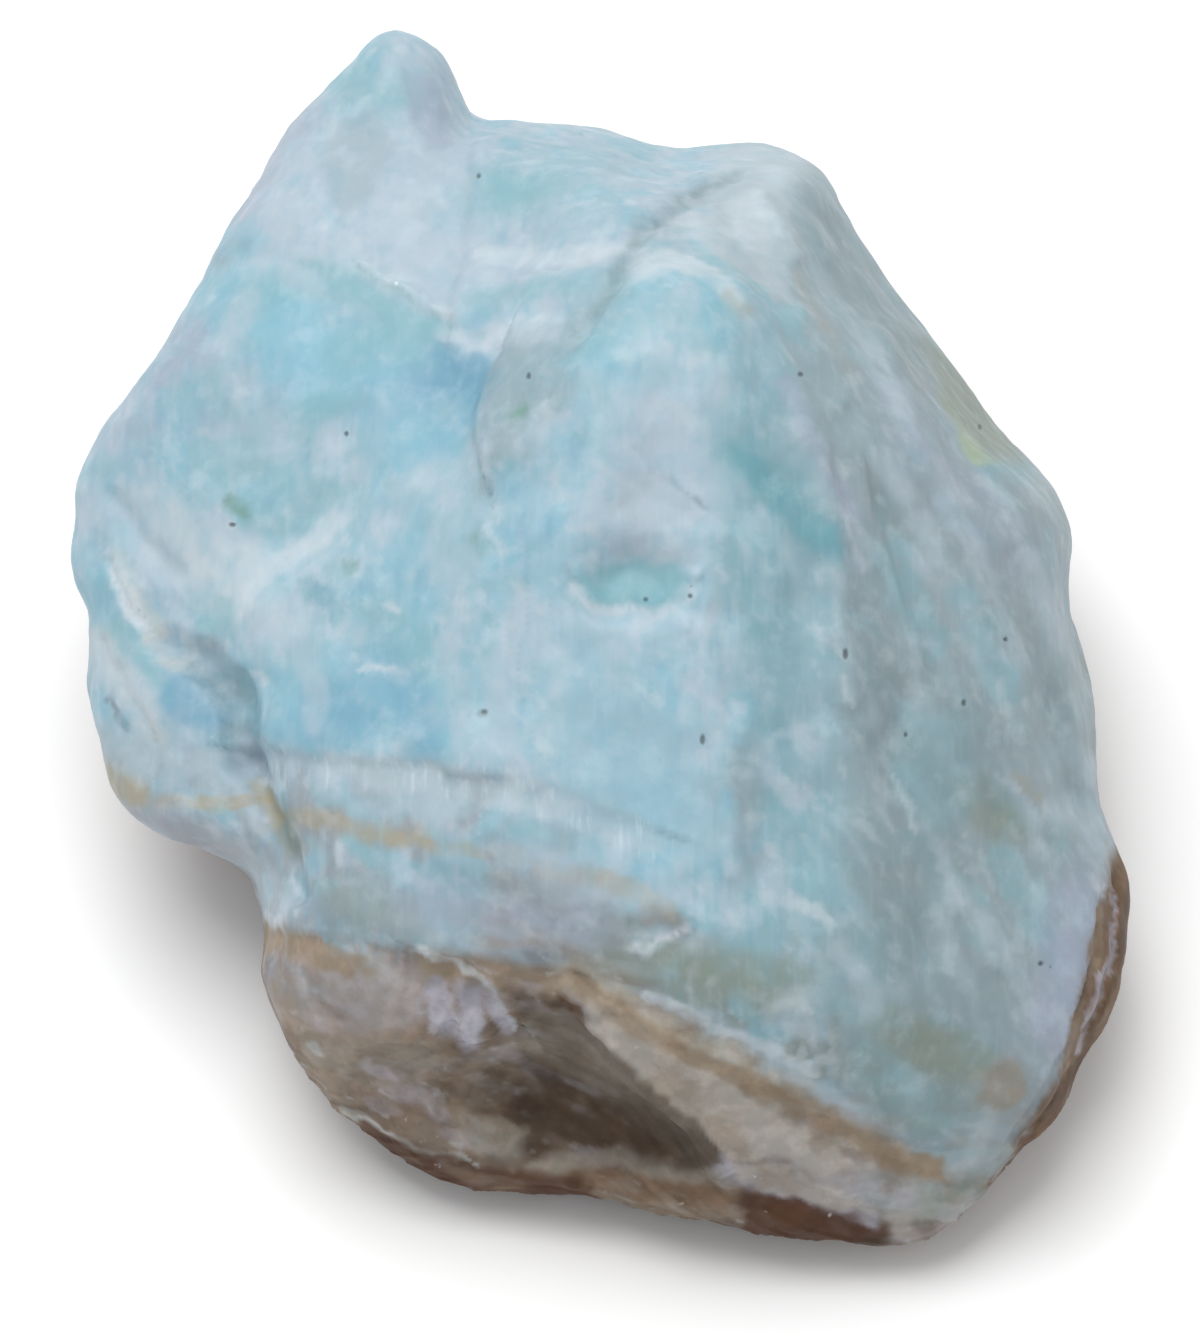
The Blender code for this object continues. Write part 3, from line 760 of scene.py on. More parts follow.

# %% [markdown]
# The upper left face
#
# The top of the stone is the milkiest part. Soft teal clouds lie in it, and one white streak runs
# down to the right along the fold, partly its own white and partly a painted highlight on the
# small ridge there.

# %% Brush the upper left face
UPPER_LEFT = [
    ("milk", 0.75, 4.2, 0.7, [(-20, 31.3), (-13.3, 32), (-12, 26.7)]),
    ("teal veil", 0.6, 2.2, 0.8, [(-16.5, 37.9), (-13.9, 37.5)]),
    ("teal veil", 0.65, 2.0, 0.8, [(-8, 29.7), (-3.7, 30.7), (-0.7, 29)]),
    ("teal veil", 0.4, 1.6, 0.9, [(-8, 33.3), (-2.7, 32.3), (2.7, 32.7)]),
    ("milk", 0.5, 2.4, 0.8, [(-6.7, 25.7), (-0.7, 26.7)]),
    ("lilac", 0.55, 1.5, 0.7, [(-25.7, 27), (-22.5, 33.3), (-20, 37)]),
    ("milk", 0.5, 1.2, 0.7, [(-8.7, 33.3), (-8.3, 28), (-10, 23.3)]),
    # The white streak on the fold: partly its own white, partly painted highlight on the ridge.
    ("white", 0.75, 0.55, 0.5, [(-15.7, 25.5), (-13, 23.8), (-10.4, 22.1)]),
    ("white", 0.35, 0.8, 0.7, [(-22.5, 25.9), (-18, 25.9), (-15.7, 25.5)]),
]

colours = brushed(colours, UPPER_LEFT)

# %% [markdown]
# The left blue face
#
# This face has the strongest blue, in clouds a few millimetres across with milky veins
# between them. Broad strokes come first, and short ones set the clouds apart.

# %% Brush the left blue face
BLUE_FACE = [
    ("sky", 0.7, 2.6, 0.8, [(-24.3, 23.3), (-20, 21.3), (-16.7, 18.7), (-14, 19.3)]),
    ("deep blue", 0.8, 2.0, 0.6, [(-10.7, 18.5), (-8.7, 17.7), (-8.1, 18.7)]),
    ("deep blue", 0.35, 2.4, 0.9, [(-20, 16.7), (-14.7, 16.7), (-10.7, 15.3)]),
    ("sky", 0.5, 2.6, 0.8, [(-12, 14), (-11.3, 8.7), (-12, 3.3)]),
    ("white", 0.6, 1.1, 0.8, [(-9.7, 20.3), (-6.7, 19.9), (-2.7, 21)]),
    ("lilac", 0.45, 2.6, 0.9, [(-32, 14.7), (-28, 20), (-24.7, 15.3)]),
    ("teal veil", 0.6, 1.3, 0.7, [(-24, 12), (-20.7, 11.3), (-18, 10)]),
    ("deep blue", 0.7, 0.9, 0.5, [(-19.3, 4.1), (-18.1, 3.7)]),
    ("white", 0.5, 2.2, 0.7, [(-26.3, 7), (-23.7, 4), (-20.7, 1)]),
    ("white", 0.5, 1.4, 0.8, [(-30, 10), (-26.7, 7)]),
    ("white", 0.45, 1.1, 0.8, [(-17.3, 8.7), (-20, 6), (-23.3, 6)]),
    ("milk", 0.5, 1.0, 0.9, [(-23.3, 0.7), (-16, 6), (-10.7, 12)]),
    ("sky", 0.75, 3.2, 0.8, [(-22, -4), (-16, -2.7), (-10, -3.3)]),
    ("deep blue", 0.45, 1.6, 0.8, [(-19.3, -5.7), (-15.3, -3.3), (-14, 0)]),
    ("milk", 0.55, 0.8, 0.8, [(-5.3, 3.3), (-6.7, -2), (-7.3, -7.3)]),
    ("milk", 0.45, 1.0, 0.9, [(-8.7, 2), (-10.7, 6), (-10, 10)]),
    # Painted shade in a pit.
    ("sea green", 0.5, 0.6, 0.6, [(-8.1, 7.3), (-7.6, 6.8)]),
    ("sky", 0.7, 1.2, 0.5, [(-22.5, 22.1), (-21, 23.3), (-19.3, 23.3)]),
    ("sky", 0.75, 1.6, 0.5, [(-21, 19.2), (-20, 20), (-18, 18), (-19.3, 17)]),
    ("teal veil", 0.6, 1.4, 0.5, [(-23.3, 23.3), (-20, 24.7), (-17.3, 25), (-12, 22)]),
    ("teal veil", 0.6, 1.5, 0.5, [(-17, 19.3), (-14, 20.3), (-11.3, 20)]),
    ("milk", 0.6, 0.9, 0.5, [(-25, 20.3), (-24, 22), (-23.6, 23.3)]),
    ("milk", 0.6, 0.8, 0.5, [(-22.1, 25.9), (-20, 24.8), (-18.8, 23.9)]),
    ("slate", 0.45, 0.8, 0.6, [(-25.2, 26.3), (-24, 26.8)]),
    ("teal veil", 0.6, 1.0, 0.5, [(-20, 15.3), (-18, 16), (-16.7, 16.7)]),
    ("milk", 0.6, 1.2, 0.5, [(-17.3, 14), (-15.3, 13), (-16, 12)]),
    ("milk", 0.5, 1.4, 0.5, [(-23.3, 14.7), (-21.3, 14), (-24.7, 13.7)]),
    ("teal veil", 0.5, 1.3, 0.5, [(-28, 16.7), (-26, 17.3), (-25, 16.7)]),
    ("lilac", 0.5, 1.2, 0.5, [(-29.3, 18.7), (-28, 20), (-27.3, 21)]),
    ("teal veil", 0.6, 1.3, 0.5, [(-26, 12.7), (-24, 13), (-24.7, 12)]),
    ("sky", 0.6, 1.6, 0.5, [(-14.7, 14), (-13.3, 13.3), (-13.7, 11.3)]),
    ("milk", 0.55, 0.8, 0.5, [(-13.7, 10.7), (-11.3, 11.3), (-10, 10)]),
    ("deep blue", 0.6, 1.0, 0.5, [(-10.3, 19.7), (-8.7, 19.3), (-8.1, 18.3)]),
    ("white", 0.55, 0.5, 0.6, [(-10.7, 21), (-8.7, 20.3), (-6.7, 20.3)]),
    ("teal veil", 0.7, 1.1, 0.4, [(-23.3, 9.3), (-21.7, 8.5), (-20, 8.7)]),
    ("sea green", 0.8, 0.5, 0.5, [(-24.5, 9.9), (-23.6, 9.3)]),
    ("white", 0.6, 1.2, 0.5, [(-29.1, 6.8), (-26.7, 5), (-23.9, 2.9)]),
    ("white", 0.5, 0.7, 0.6, [(-25.7, 2.9), (-21.5, 5.5), (-17.5, 8.3)]),
    ("teal veil", 0.6, 1.0, 0.5, [(-26.3, 3.3), (-25, 2.7), (-25.7, 1.7)]),
    ("deep teal", 0.7, 0.8, 0.4, [(-19.2, 4.1), (-18.3, 3.6)]),
    ("teal veil", 0.6, 1.6, 0.5, [(-14.1, 2), (-12.7, 0.7), (-11.5, -0.5)]),
    ("deep blue", 0.45, 1.6, 0.5, [(-18, -3.3), (-16, -5)]),
    ("deep blue", 0.55, 1.2, 0.5, [(-12.7, -2), (-12.1, -4.7), (-11.7, -7)]),
    ("milk", 0.6, 0.9, 0.5, [(-10, 0.3), (-9.2, -3.3), (-8.7, -6.3)]),
    ("milk", 0.5, 0.8, 0.5, [(-20, 0), (-18.7, -2), (-18.8, -4.7)]),
    ("white", 0.6, 0.3, 0.5, [(-23.1, -1.6), (-22.1, -2)]),
    ("white", 0.6, 0.25, 0.5, [(-15.7, -1.3), (-14.3, -1.2), (-12.8, -1.4)]),
    ("white", 0.6, 0.3, 0.5, [(-13.9, 3), (-13.3, 2.5)]),
]

colours = brushed(colours, BLUE_FACE)

# %% [markdown]
# The crease and the apex
#
# A crease runs from the apex down to the small plateau. White bands cross it, and the apex
# itself is greyer, with a touch of sand where the surface was knocked.

# %% Brush the crease and the apex
CREASE_APEX = [
    ("sea green", 0.8, 0.5, 0.6, [(-5.7, 15.3), (-5.1, 16.1)]),
    ("grey veil", 0.6, 1.2, 0.8, [(-4, 16.7), (-1.3, 20), (0.8, 23.3)]),
    ("milk", 0.5, 1.0, 0.8, [(-8.7, 12), (-6.7, 14), (-2.7, 14.7)]),
    ("white", 0.75, 0.6, 0.5, [(-8, 26.1), (-2.7, 25.9), (1.3, 26.5), (2.7, 27)]),
    ("white", 0.85, 0.6, 0.5, [(2.1, 24.7), (4.1, 25.7), (7.3, 24.9), (8.9, 23.1)]),
    ("teal veil", 0.6, 0.45, 0.6, [(3, 26.7), (6.5, 26.7), (9.3, 24.7), (10.8, 23.4)]),
    ("teal veil", 0.6, 0.8, 0.6, [(-8, 23.3), (-2.7, 24), (1.3, 24.3)]),
    ("white", 0.6, 0.9, 0.5, [(-5.9, 21), (-4, 21.3), (-2.3, 20.9)]),
    ("white", 0.6, 0.5, 0.5, [(2.7, 19.9), (4.3, 19.6)]),
    ("white", 0.6, 0.5, 0.5, [(5.6, 18.7), (6.7, 19.1)]),
    ("sky", 0.6, 1.8, 0.6, [(-1.7, 19.3), (1.3, 20), (2.7, 17.3)]),
    ("milk", 0.6, 1.8, 0.6, [(4.3, 15), (6.7, 14), (7.7, 12)]),
    # Painted shade under the upper lip of the small scoop.
    ("slate", 0.5, 1.0, 0.7, [(2, 6.8), (3.7, 7), (5, 6.3)]),
    ("lilac", 0.6, 0.6, 0.6, [(12.2, 17.5), (14.3, 13.3), (16.5, 9), (16.9, 5.3)]),
    ("white", 0.6, 0.25, 0.6, [(16.2, 8.7), (16.7, 6.8), (17.2, 5.3)]),
    ("white", 0.5, 1.2, 0.7, [(6.7, 28), (9.3, 29), (11.3, 31.3)]),
    ("grey veil", 0.55, 0.9, 0.8, [(9, 31.5), (6, 30), (3, 28.1), (0.8, 24.1)]),
    ("sand", 0.5, 0.5, 0.6, [(8.5, 23.3), (9.5, 22.3)]),
    ("sand", 0.4, 0.35, 0.7, [(13.3, 24.7), (14.3, 22), (16.7, 18.3)]),
    ("teal veil", 0.6, 0.8, 0.7, [(11.7, 22.1), (13.3, 21.9)]),
    ("milk", 0.5, 1.4, 0.8, [(8.7, 32.3), (12.7, 32.7)]),
]

colours = brushed(colours, CREASE_APEX)

# %% [markdown]
# The centre
#
# Below the apex the stone is clear blue, with a teal pool in the shallow scoop and a white
# rim under it. Clear stone looks darker, because light goes further in before it comes out.

# %% Brush the centre
CENTRE = [
    ("teal veil", 0.45, 2.4, 0.9, [(0, 21.3), (6.7, 22.7), (8.7, 19.3)]),
    ("milk", 0.8, 3.0, 0.7, [(3.7, 14.7), (4, 10.7), (3.3, 7.7)]),
    ("white", 0.35, 1.2, 0.8, [(2, 20), (6, 19.7), (8, 16.7)]),
    ("teal veil", 0.8, 1.5, 0.5, [(-0.7, 3.9), (1.7, 3.9), (4.5, 4)]),
    ("deep teal", 0.7, 0.8, 0.5, [(-0.5, 3.3), (1.5, 3.1), (4.1, 3.1)]),
    ("white", 0.7, 0.45, 0.5, [(-1.9, 3.9), (0, 2.5), (2.1, 3), (4.1, 2.3), (5.9, 3.9)]),
    ("milk", 0.5, 1.2, 0.9, [(-2.7, 2), (1.3, 1.3), (6, 0.7)]),
    ("bright blue", 0.6, 3.2, 0.8, [(-0.7, -3.3), (1.3, -6), (0, -10)]),
    ("sky", 0.6, 2.0, 0.8, [(2.7, -10), (6, -12.7)]),
    ("white", 0.4, 0.8, 0.9, [(-2.7, -0.7), (-3.3, -6), (-4.7, -8.7)]),
    ("milk", 0.4, 1.5, 0.9, [(6.7, 2), (7.3, -4.7), (7.7, -12)]),
    ("deep teal", 0.75, 1.3, 0.7, [(9, 13.3), (12, 10.3), (15, 7)]),
    ("teal veil", 0.5, 1.6, 0.8, [(8.3, 14.7), (9.7, 6), (10, 0)]),
    ("deep teal", 0.4, 1.4, 0.8, [(10.7, 4), (12, -2), (10.7, -8.7)]),
    ("milk", 0.35, 0.8, 0.8, [(10.7, -6.7), (9.3, -11.3), (9, -14.7)]),
    ("teal veil", 0.4, 2.0, 0.8, [(12.7, -12), (15.3, -16.7)]),
]

colours = brushed(colours, CENTRE)

# %% [markdown]
# The right side
#
# The right side turns away and is greyer and greener. Its streaks slant down to the right,
# along the direction in which this side of the lump grew, and an olive patch marks iron.

# %% Brush the right side
RIGHT_SIDE = [
    ("grey veil", 0.55, 2.4, 0.8, [(15.3, 28), (17.3, 22), (16.7, 15.3)]),
    ("olive", 0.7, 2.0, 0.8, [(22.3, 19.7), (25, 16.7), (27, 14.7)]),
    ("yellow green", 0.9, 0.45, 0.5, [(22.7, 17), (23.7, 15), (24.9, 13), (26, 12.5)]),
    ("yellow green", 0.8, 0.8, 0.5, [(24.3, 14), (25.1, 13.2)]),
    ("deep teal", 0.7, 0.9, 0.7, [(26.1, 12.5), (27.7, 11.9)]),
    ("lilac", 0.4, 2.2, 0.9, [(20, 16.7), (24, 10), (28, 6)]),
    ("milk", 0.35, 1.0, 0.8, [(22, 6), (23.7, 2.7), (25, 0)]),
    ("grey veil", 0.5, 1.4, 0.8, [(18, 6), (22, -0.7), (24, -7.3)]),
    ("slate", 0.45, 2.4, 0.9, [(20, -6), (22, -11.3), (21.3, -16.7)]),
    ("milk", 0.3, 0.6, 0.8, [(26.7, 0.7), (29.3, -6), (30, -11.3)]),
    ("grey veil", 0.5, 1.6, 0.8, [(30.7, 6), (32.3, -2), (32.7, -8.7)]),
    ("slate", 0.45, 3.0, 0.9, [(18.7, -20), (24, -23.3), (28, -26)]),
    ("teal veil", 0.4, 2.0, 0.9, [(16.7, -23.3), (20, -28.7), (22.7, -31.3)]),
    ("olive", 0.45, 1.6, 0.8, [(19.3, -24.7), (24, -27.3), (27.3, -29.3)]),
    ("olive", 0.5, 1.5, 0.8, [(0.7, -19.7), (5.3, -21.7), (11.3, -22.3)]),
    ("teal veil", 0.4, 2.0, 0.8, [(13.3, -20.7), (9.3, -18.7), (17.3, -19.3)]),
    ("lilac", 0.45, 1.8, 0.9, [(31.7, -15.3), (30.7, -20.7), (29.3, -26.7)]),
    ("white", 0.4, 0.6, 0.7, [(22, -35.5), (24.3, -34), (25.7, -30.7)]),
    ("teal", 0.7, 1.5, 0.5, [(10.3, -1), (12.7, -2.7)]),
    ("white", 0.45, 0.2, 0.5, [(15.8, -1.7), (16.1, -2.7), (16.5, -3.8)]),
    ("white", 0.5, 0.2, 0.5, [(19.5, -8.3), (20.2, -10), (20.9, -12.1)]),
    ("milk", 0.6, 0.4, 0.5, [(20.6, 0.7), (21.8, 0.3)]),
    ("slate", 0.6, 0.9, 0.5, [(19.2, -4.7), (19.7, -6.3)]),
    ("olive", 0.75, 1.4, 0.5, [(24.7, -9.7), (26, -11), (26.7, -12.1)]),
    ("sand", 0.5, 0.4, 0.5, [(27.5, -8.3), (28.3, -9), (29.2, -9.8)]),
    ("milk", 0.65, 0.9, 0.5, [(31.1, -6.7), (32, -7.5), (33.1, -8.6)]),
    ("milk", 0.6, 1.0, 0.5, [(31, -10.3), (32.3, -11.3), (33.5, -12.5)]),
    ("milk", 0.6, 0.5, 0.5, [(11.1, -8), (12, -9.2), (12.9, -10.3)]),
    ("milk", 0.6, 0.4, 0.5, [(13.5, -9.3), (14.1, -10.4)]),
    ("milk", 0.6, 0.35, 0.5, [(9.9, -6.8), (11.3, -5.9), (12.9, -5), (14.6, -6.5)]),
    ("slate", 0.5, 1.0, 0.6, [(9.5, -6.7), (9.7, -10), (10.3, -13.3)]),
    ("white", 0.6, 0.4, 0.4, [(12.4, -16.1), (13.3, -16.7), (14.3, -17), (15.2, -18.1)]),
    ("milk", 0.55, 0.8, 0.6, [(18.7, 12.7), (20.3, 10), (22, 6)]),
    ("milk", 0.5, 0.7, 0.6, [(22.7, 10), (24.3, 7.3), (25.7, 4)]),
    ("milk", 0.55, 0.8, 0.6, [(28.7, 6), (29.7, 3.3), (30.7, 0)]),
    ("milk", 0.5, 0.7, 0.6, [(17.3, 21.3), (18.7, 18.7), (20.3, 15.3)]),
    ("slate", 0.5, 1.0, 0.6, [(20.3, 19.3), (21.7, 16.7), (23, 14)]),
    ("teal veil", 0.5, 1.2, 0.5, [(19.3, 6), (20.3, 3.3), (21.7, 0.7)]),
    ("teal veil", 0.5, 1.2, 0.5, [(24, 3.3), (25.7, 0), (26.7, -2.7)]),
    ("slate", 0.5, 1.3, 0.6, [(17.3, 3.3), (18, -0.7), (19, -3.3)]),
    ("teal veil", 0.5, 1.3, 0.5, [(26.7, -14), (28, -16), (29.3, -18)]),
    ("milk", 0.5, 0.6, 0.6, [(23.3, -15.3), (25, -18), (26.7, -20.7)]),
    ("milk", 0.5, 0.8, 0.6, [(16, -20), (17.3, -22), (18, -24)]),
    ("slate", 0.5, 1.2, 0.6, [(24, -3.3), (25, -6.7), (25.7, -9.3)]),
    ("slate", 0.5, 1.4, 0.6, [(16.7, -14), (18.7, -16.7), (20, -20)]),
    ("milk", 0.5, 0.5, 0.6, [(22.3, -13), (23, -14.7), (23.3, -16.7)]),
    ("olive", 0.6, 1.4, 0.5, [(4.7, -20), (8.7, -21), (12.7, -21.7)]),
    ("olive", 0.6, 1.4, 0.5, [(19.3, -25), (23.3, -26.7), (27.3, -28.7)]),
    ("sand", 0.6, 0.5, 0.5, [(24.8, -28.1), (26, -28.5), (27.1, -29)]),
    ("white", 0.6, 0.4, 0.4, [(3, -22.6), (6, -24), (8.7, -25.3), (11.7, -26.5), (14.3, -27.6)]),
    ("lilac", 0.6, 1.6, 0.6, [(31.3, -16.7), (30.8, -20.7), (30, -24.7)]),
    ("grey teal", 0.6, 1.6, 0.6, [(26, -29.3), (24.7, -31.3), (25.7, -33.3)]),
    ("grey", 0.6, 1.0, 0.6, [(26.7, -27.3), (28.7, -28.7), (27.3, -31.3)]),
]

colours = brushed(colours, RIGHT_SIDE)

# %% [markdown]
# The chip and the left lobe
#
# A small chip shows the brown underneath, with a pale edge that is a painted highlight and small
# painted white glints. On the left lobe, cream and teal run in stripes that follow the folds of
# the surface, and the groove beside it gets painted shade.

# %% Brush the chip and the lobe
CHIP_LOBE = [
    ("olive grey", 0.7, 0.7, 0.5, [(2.4, -17.7), (3.7, -17.2), (5, -17.3)]),
    ("tan grey", 0.6, 0, 0.2,
        [(2.7, -17), (4.3, -16.7), (6, -17.7), (5.9, -18.4), (4, -18.1), (2.7, -17.7), (2.7, -17)]),
    # Painted highlight on the chip's edge.
    ("lavender", 0.9, 0, 0.15,
        [(3.5, -18.5), (4.5, -18.4), (5.9, -18.1), (5.6, -18.8), (4.5, -19.1), (3.7, -19.1),
         (3.5, -18.5)]),
    # Painted glints on the chip's edge.
    ("white", 0.6, 0.18, 0.4, [(3.7, -18.9), (4.7, -18.7), (5.8, -18.3)]),
    ("white", 0.55, 0.3, 0.5, [(1.9, -19.5), (2.4, -19.1), (2.7, -19.7), (3.2, -19.4)]),
    ("milk", 0.6, 1.4, 0.8, [(-33.7, 10), (-31.3, 8.7), (-29.3, 5.3)]),
    ("cream", 0.65, 0.7, 0.6, [(-32, 6), (-31, 3.3), (-29.3, 1.3)]),
    ("teal veil", 0.85, 0.8, 0.6, [(-32.3, 1.7), (-30.7, -0.3), (-29, -3)]),
    ("cream", 0.75, 0.9, 0.6, [(-33.5, 0.7), (-31.3, -2.7), (-29.3, -6.1)]),
    ("cream", 0.7, 0.55, 0.5, [(-30, 0.7), (-28.5, -0.7), (-26.7, -1.5)]),
    ("deep blue", 0.8, 1.5, 0.6, [(-27, -2.7), (-25, -4.3), (-24, -7)]),
    ("sky", 0.5, 1.2, 0.7, [(-34.7, 6), (-34.3, 2)]),
    # Painted shade in the groove beside the lobe.
    ("slate", 0.75, 1.4, 0.5, [(-26.2, -0.7), (-24.5, -3), (-23.7, -6.6)]),
    ("white", 0.75, 0.6, 0.5, [(-32.1, 5.3), (-31.5, 3.3), (-30.5, 1.6)]),
    ("milk", 0.7, 1.2, 0.5, [(-33.6, 0), (-31.7, -2), (-30, -3.9)]),
    ("umber", 0.45, 0.2, 0.6, [(-32.9, -3.3), (-32.1, -4.4), (-31.3, -5.3)]),
    ("deep blue", 0.6, 1.0, 0.5, [(-28.3, -3.3), (-27, -4), (-25.8, -4.8)]),
    ("deep teal", 0.6, 0.5, 0.5, [(-25.7, -5.9), (-24.3, -6.5)]),
]

colours = brushed(colours, CHIP_LOBE)

# %% [markdown]
# The bands under the blue
#
# Under the blue lie thin ochre lines, a comb of white fibres and lilac-grey bands. They are
# the first layers that the calcite laid down on the brown rock. The list also holds painted
# shade, as slate lines in the crease from the apex and as dots in two pits, and a dark slate
# line along a small crack.

# %% Brush the bands
SEAM = [
    ("grey veil", 0.7, 1.4, 0.5, [(-33, -6.5), (-28.7, -7.7), (-24.8, -8.3)]),
    ("ochre", 0.8, 0.9, 0.5, [(-33.1, -8.1), (-31.9, -8.9), (-30.9, -9.5)]),
    ("ochre", 0.6, 0.5, 0.5, [(-21, -10.8), (-17.5, -11.5), (-14.7, -12.1), (-11.3, -12.8)]),
    ("olive", 0.7, 0.7, 0.5, [(-22.5, -9), (-21.3, -10.7), (-20.1, -13.3)]),
    ("lavender", 0.6, 1.3, 0.5, [(-30, -11), (-27.3, -12), (-24.7, -13)]),
    ("milk", 0.6, 1.2, 0.5, [(-24, -14), (-22.5, -15.3), (-21, -16.7)]),
    ("white", 0.8, 0.35, 0.4, [(-28, -9.9), (-27.3, -10.2)]),
    ("white", 0.8, 0.35, 0.4, [(-22, -8.7), (-21.2, -8.9)]),
    ("white", 0.8, 0.35, 0.4, [(-26, -11.7), (-25.3, -12)]),
    ("white", 0.8, 0.3, 0.4, [(-26.4, -13.5), (-25.9, -13.7)]),
    ("white", 0.8, 0.4, 0.4, [(-22.1, -17.6), (-21.1, -17.9)]),
    ("white", 0.7, 0.3, 0.4, [(-20.1, -15.3), (-19.7, -16.1)]),
    ("teal veil", 0.65, 0.8, 0.5, [(-18, -9.7), (-14, -10.4), (-8.9, -10.1)]),
    ("white", 0.7, 0.7, 0.5, [(-6.1, -8.5), (-5.3, -10)]),
    ("grey veil", 0.7, 1.1, 0.5, [(-5.3, -11.5), (-2.7, -12.5)]),
    ("sand", 0.5, 0.9, 0.5, [(-19.3, -11), (-15.3, -12), (-11.7, -12.5)]),
    ("slate", 0.6, 1.0, 0.5, [(-17.7, -16.7), (-16.7, -17.7), (-16, -18.3)]),
    ("grey veil", 0.6, 2.0, 0.5, [(-14.7, -16), (-12, -17.3), (-10, -18.7)]),
    ("olive", 0.5, 0.9, 0.5, [(-6.7, -15.3), (-4.7, -15.9), (-3, -16.3)]),
    # Painted shade in the crease from the apex; the third line darkens a small crack.
    ("slate", 0.5, 0.4, 0.6, [(9.2, 31.5), (8, 31.1), (6, 29.9), (3.7, 28.3)]),
    ("slate", 0.45, 0.4, 0.6, [(3.7, 28.3), (2.1, 26.7), (0.8, 24.1), (-0.7, 21.7), (-1.9, 19.9)]),
    ("slate", 0.45, 0.25, 0.6, [(3.3, 11.9), (4.5, 11.3), (5.6, 10.3), (6.5, 9.3)]),
    # Painted shade in two pits.
    ("sea green", 0.8, 0.35, 0.4, [(-16.7, 5.7), (-16.3, 5.5)]),
    ("slate", 0.7, 0.3, 0.4, [(-7.7, -4.1), (-7.5, -4.1)]),
    ("milk", 0.5, 1.6, 0.8, [(-32.7, -7), (-28, -7.7), (-24, -8)]),
    ("ochre", 0.8, 0.4, 0.5, [(-33.1, -8), (-31.5, -9.1), (-30, -9.9), (-26.7, -10.2), (-22.5, -10)]),
    ("ochre", 0.85, 0.5, 0.5, [(-22.5, -9), (-21.9, -9.7), (-21.3, -11)]),
    ("lavender", 0.5, 0.7, 0.6, [(-29.3, -11.5), (-26.3, -12.5), (-24, -13.3)]),
    ("grey", 0.4, 1.0, 0.8, [(-30, -11), (-25.3, -12.7), (-20.7, -14.7)]),
    ("comb white", 0.8, 1.1, 0.5, [(-17.3, -7.9), (-13.3, -8.1), (-8.7, -8.7)]),
    ("milk", 0.6, 1.3, 0.7, [(-23.3, -7.3), (-18, -8.3), (-14.7, -10), (-10, -10)]),
    ("comb white", 0.75, 1.1, 0.6, [(-8, -9.3), (-2.7, -10), (3.3, -12.5)]),
    ("sky", 0.5, 1.0, 0.8, [(-6.7, -11.7), (-4, -12.3)]),
    ("ochre", 0.5, 0.45, 0.6, [(-13.3, -12.5), (-8.7, -13.1), (-5.3, -13.5)]),
    ("ochre", 0.7, 0.6, 0.5, [(-3.7, -14.5), (-0.7, -14.9), (2.7, -15.9), (4.5, -17)]),
    ("lilac", 0.5, 1.6, 0.8, [(-12, -16.7), (-5.3, -16.7), (-0.7, -18)]),
    ("olive", 0.35, 1.2, 0.8, [(-17.3, -16), (-13.3, -18)]),
    ("milk", 0.5, 0.9, 0.7, [(-2.7, -15.3), (2.7, -16.7), (6.7, -16)]),
]

colours = brushed(colours, SEAM)
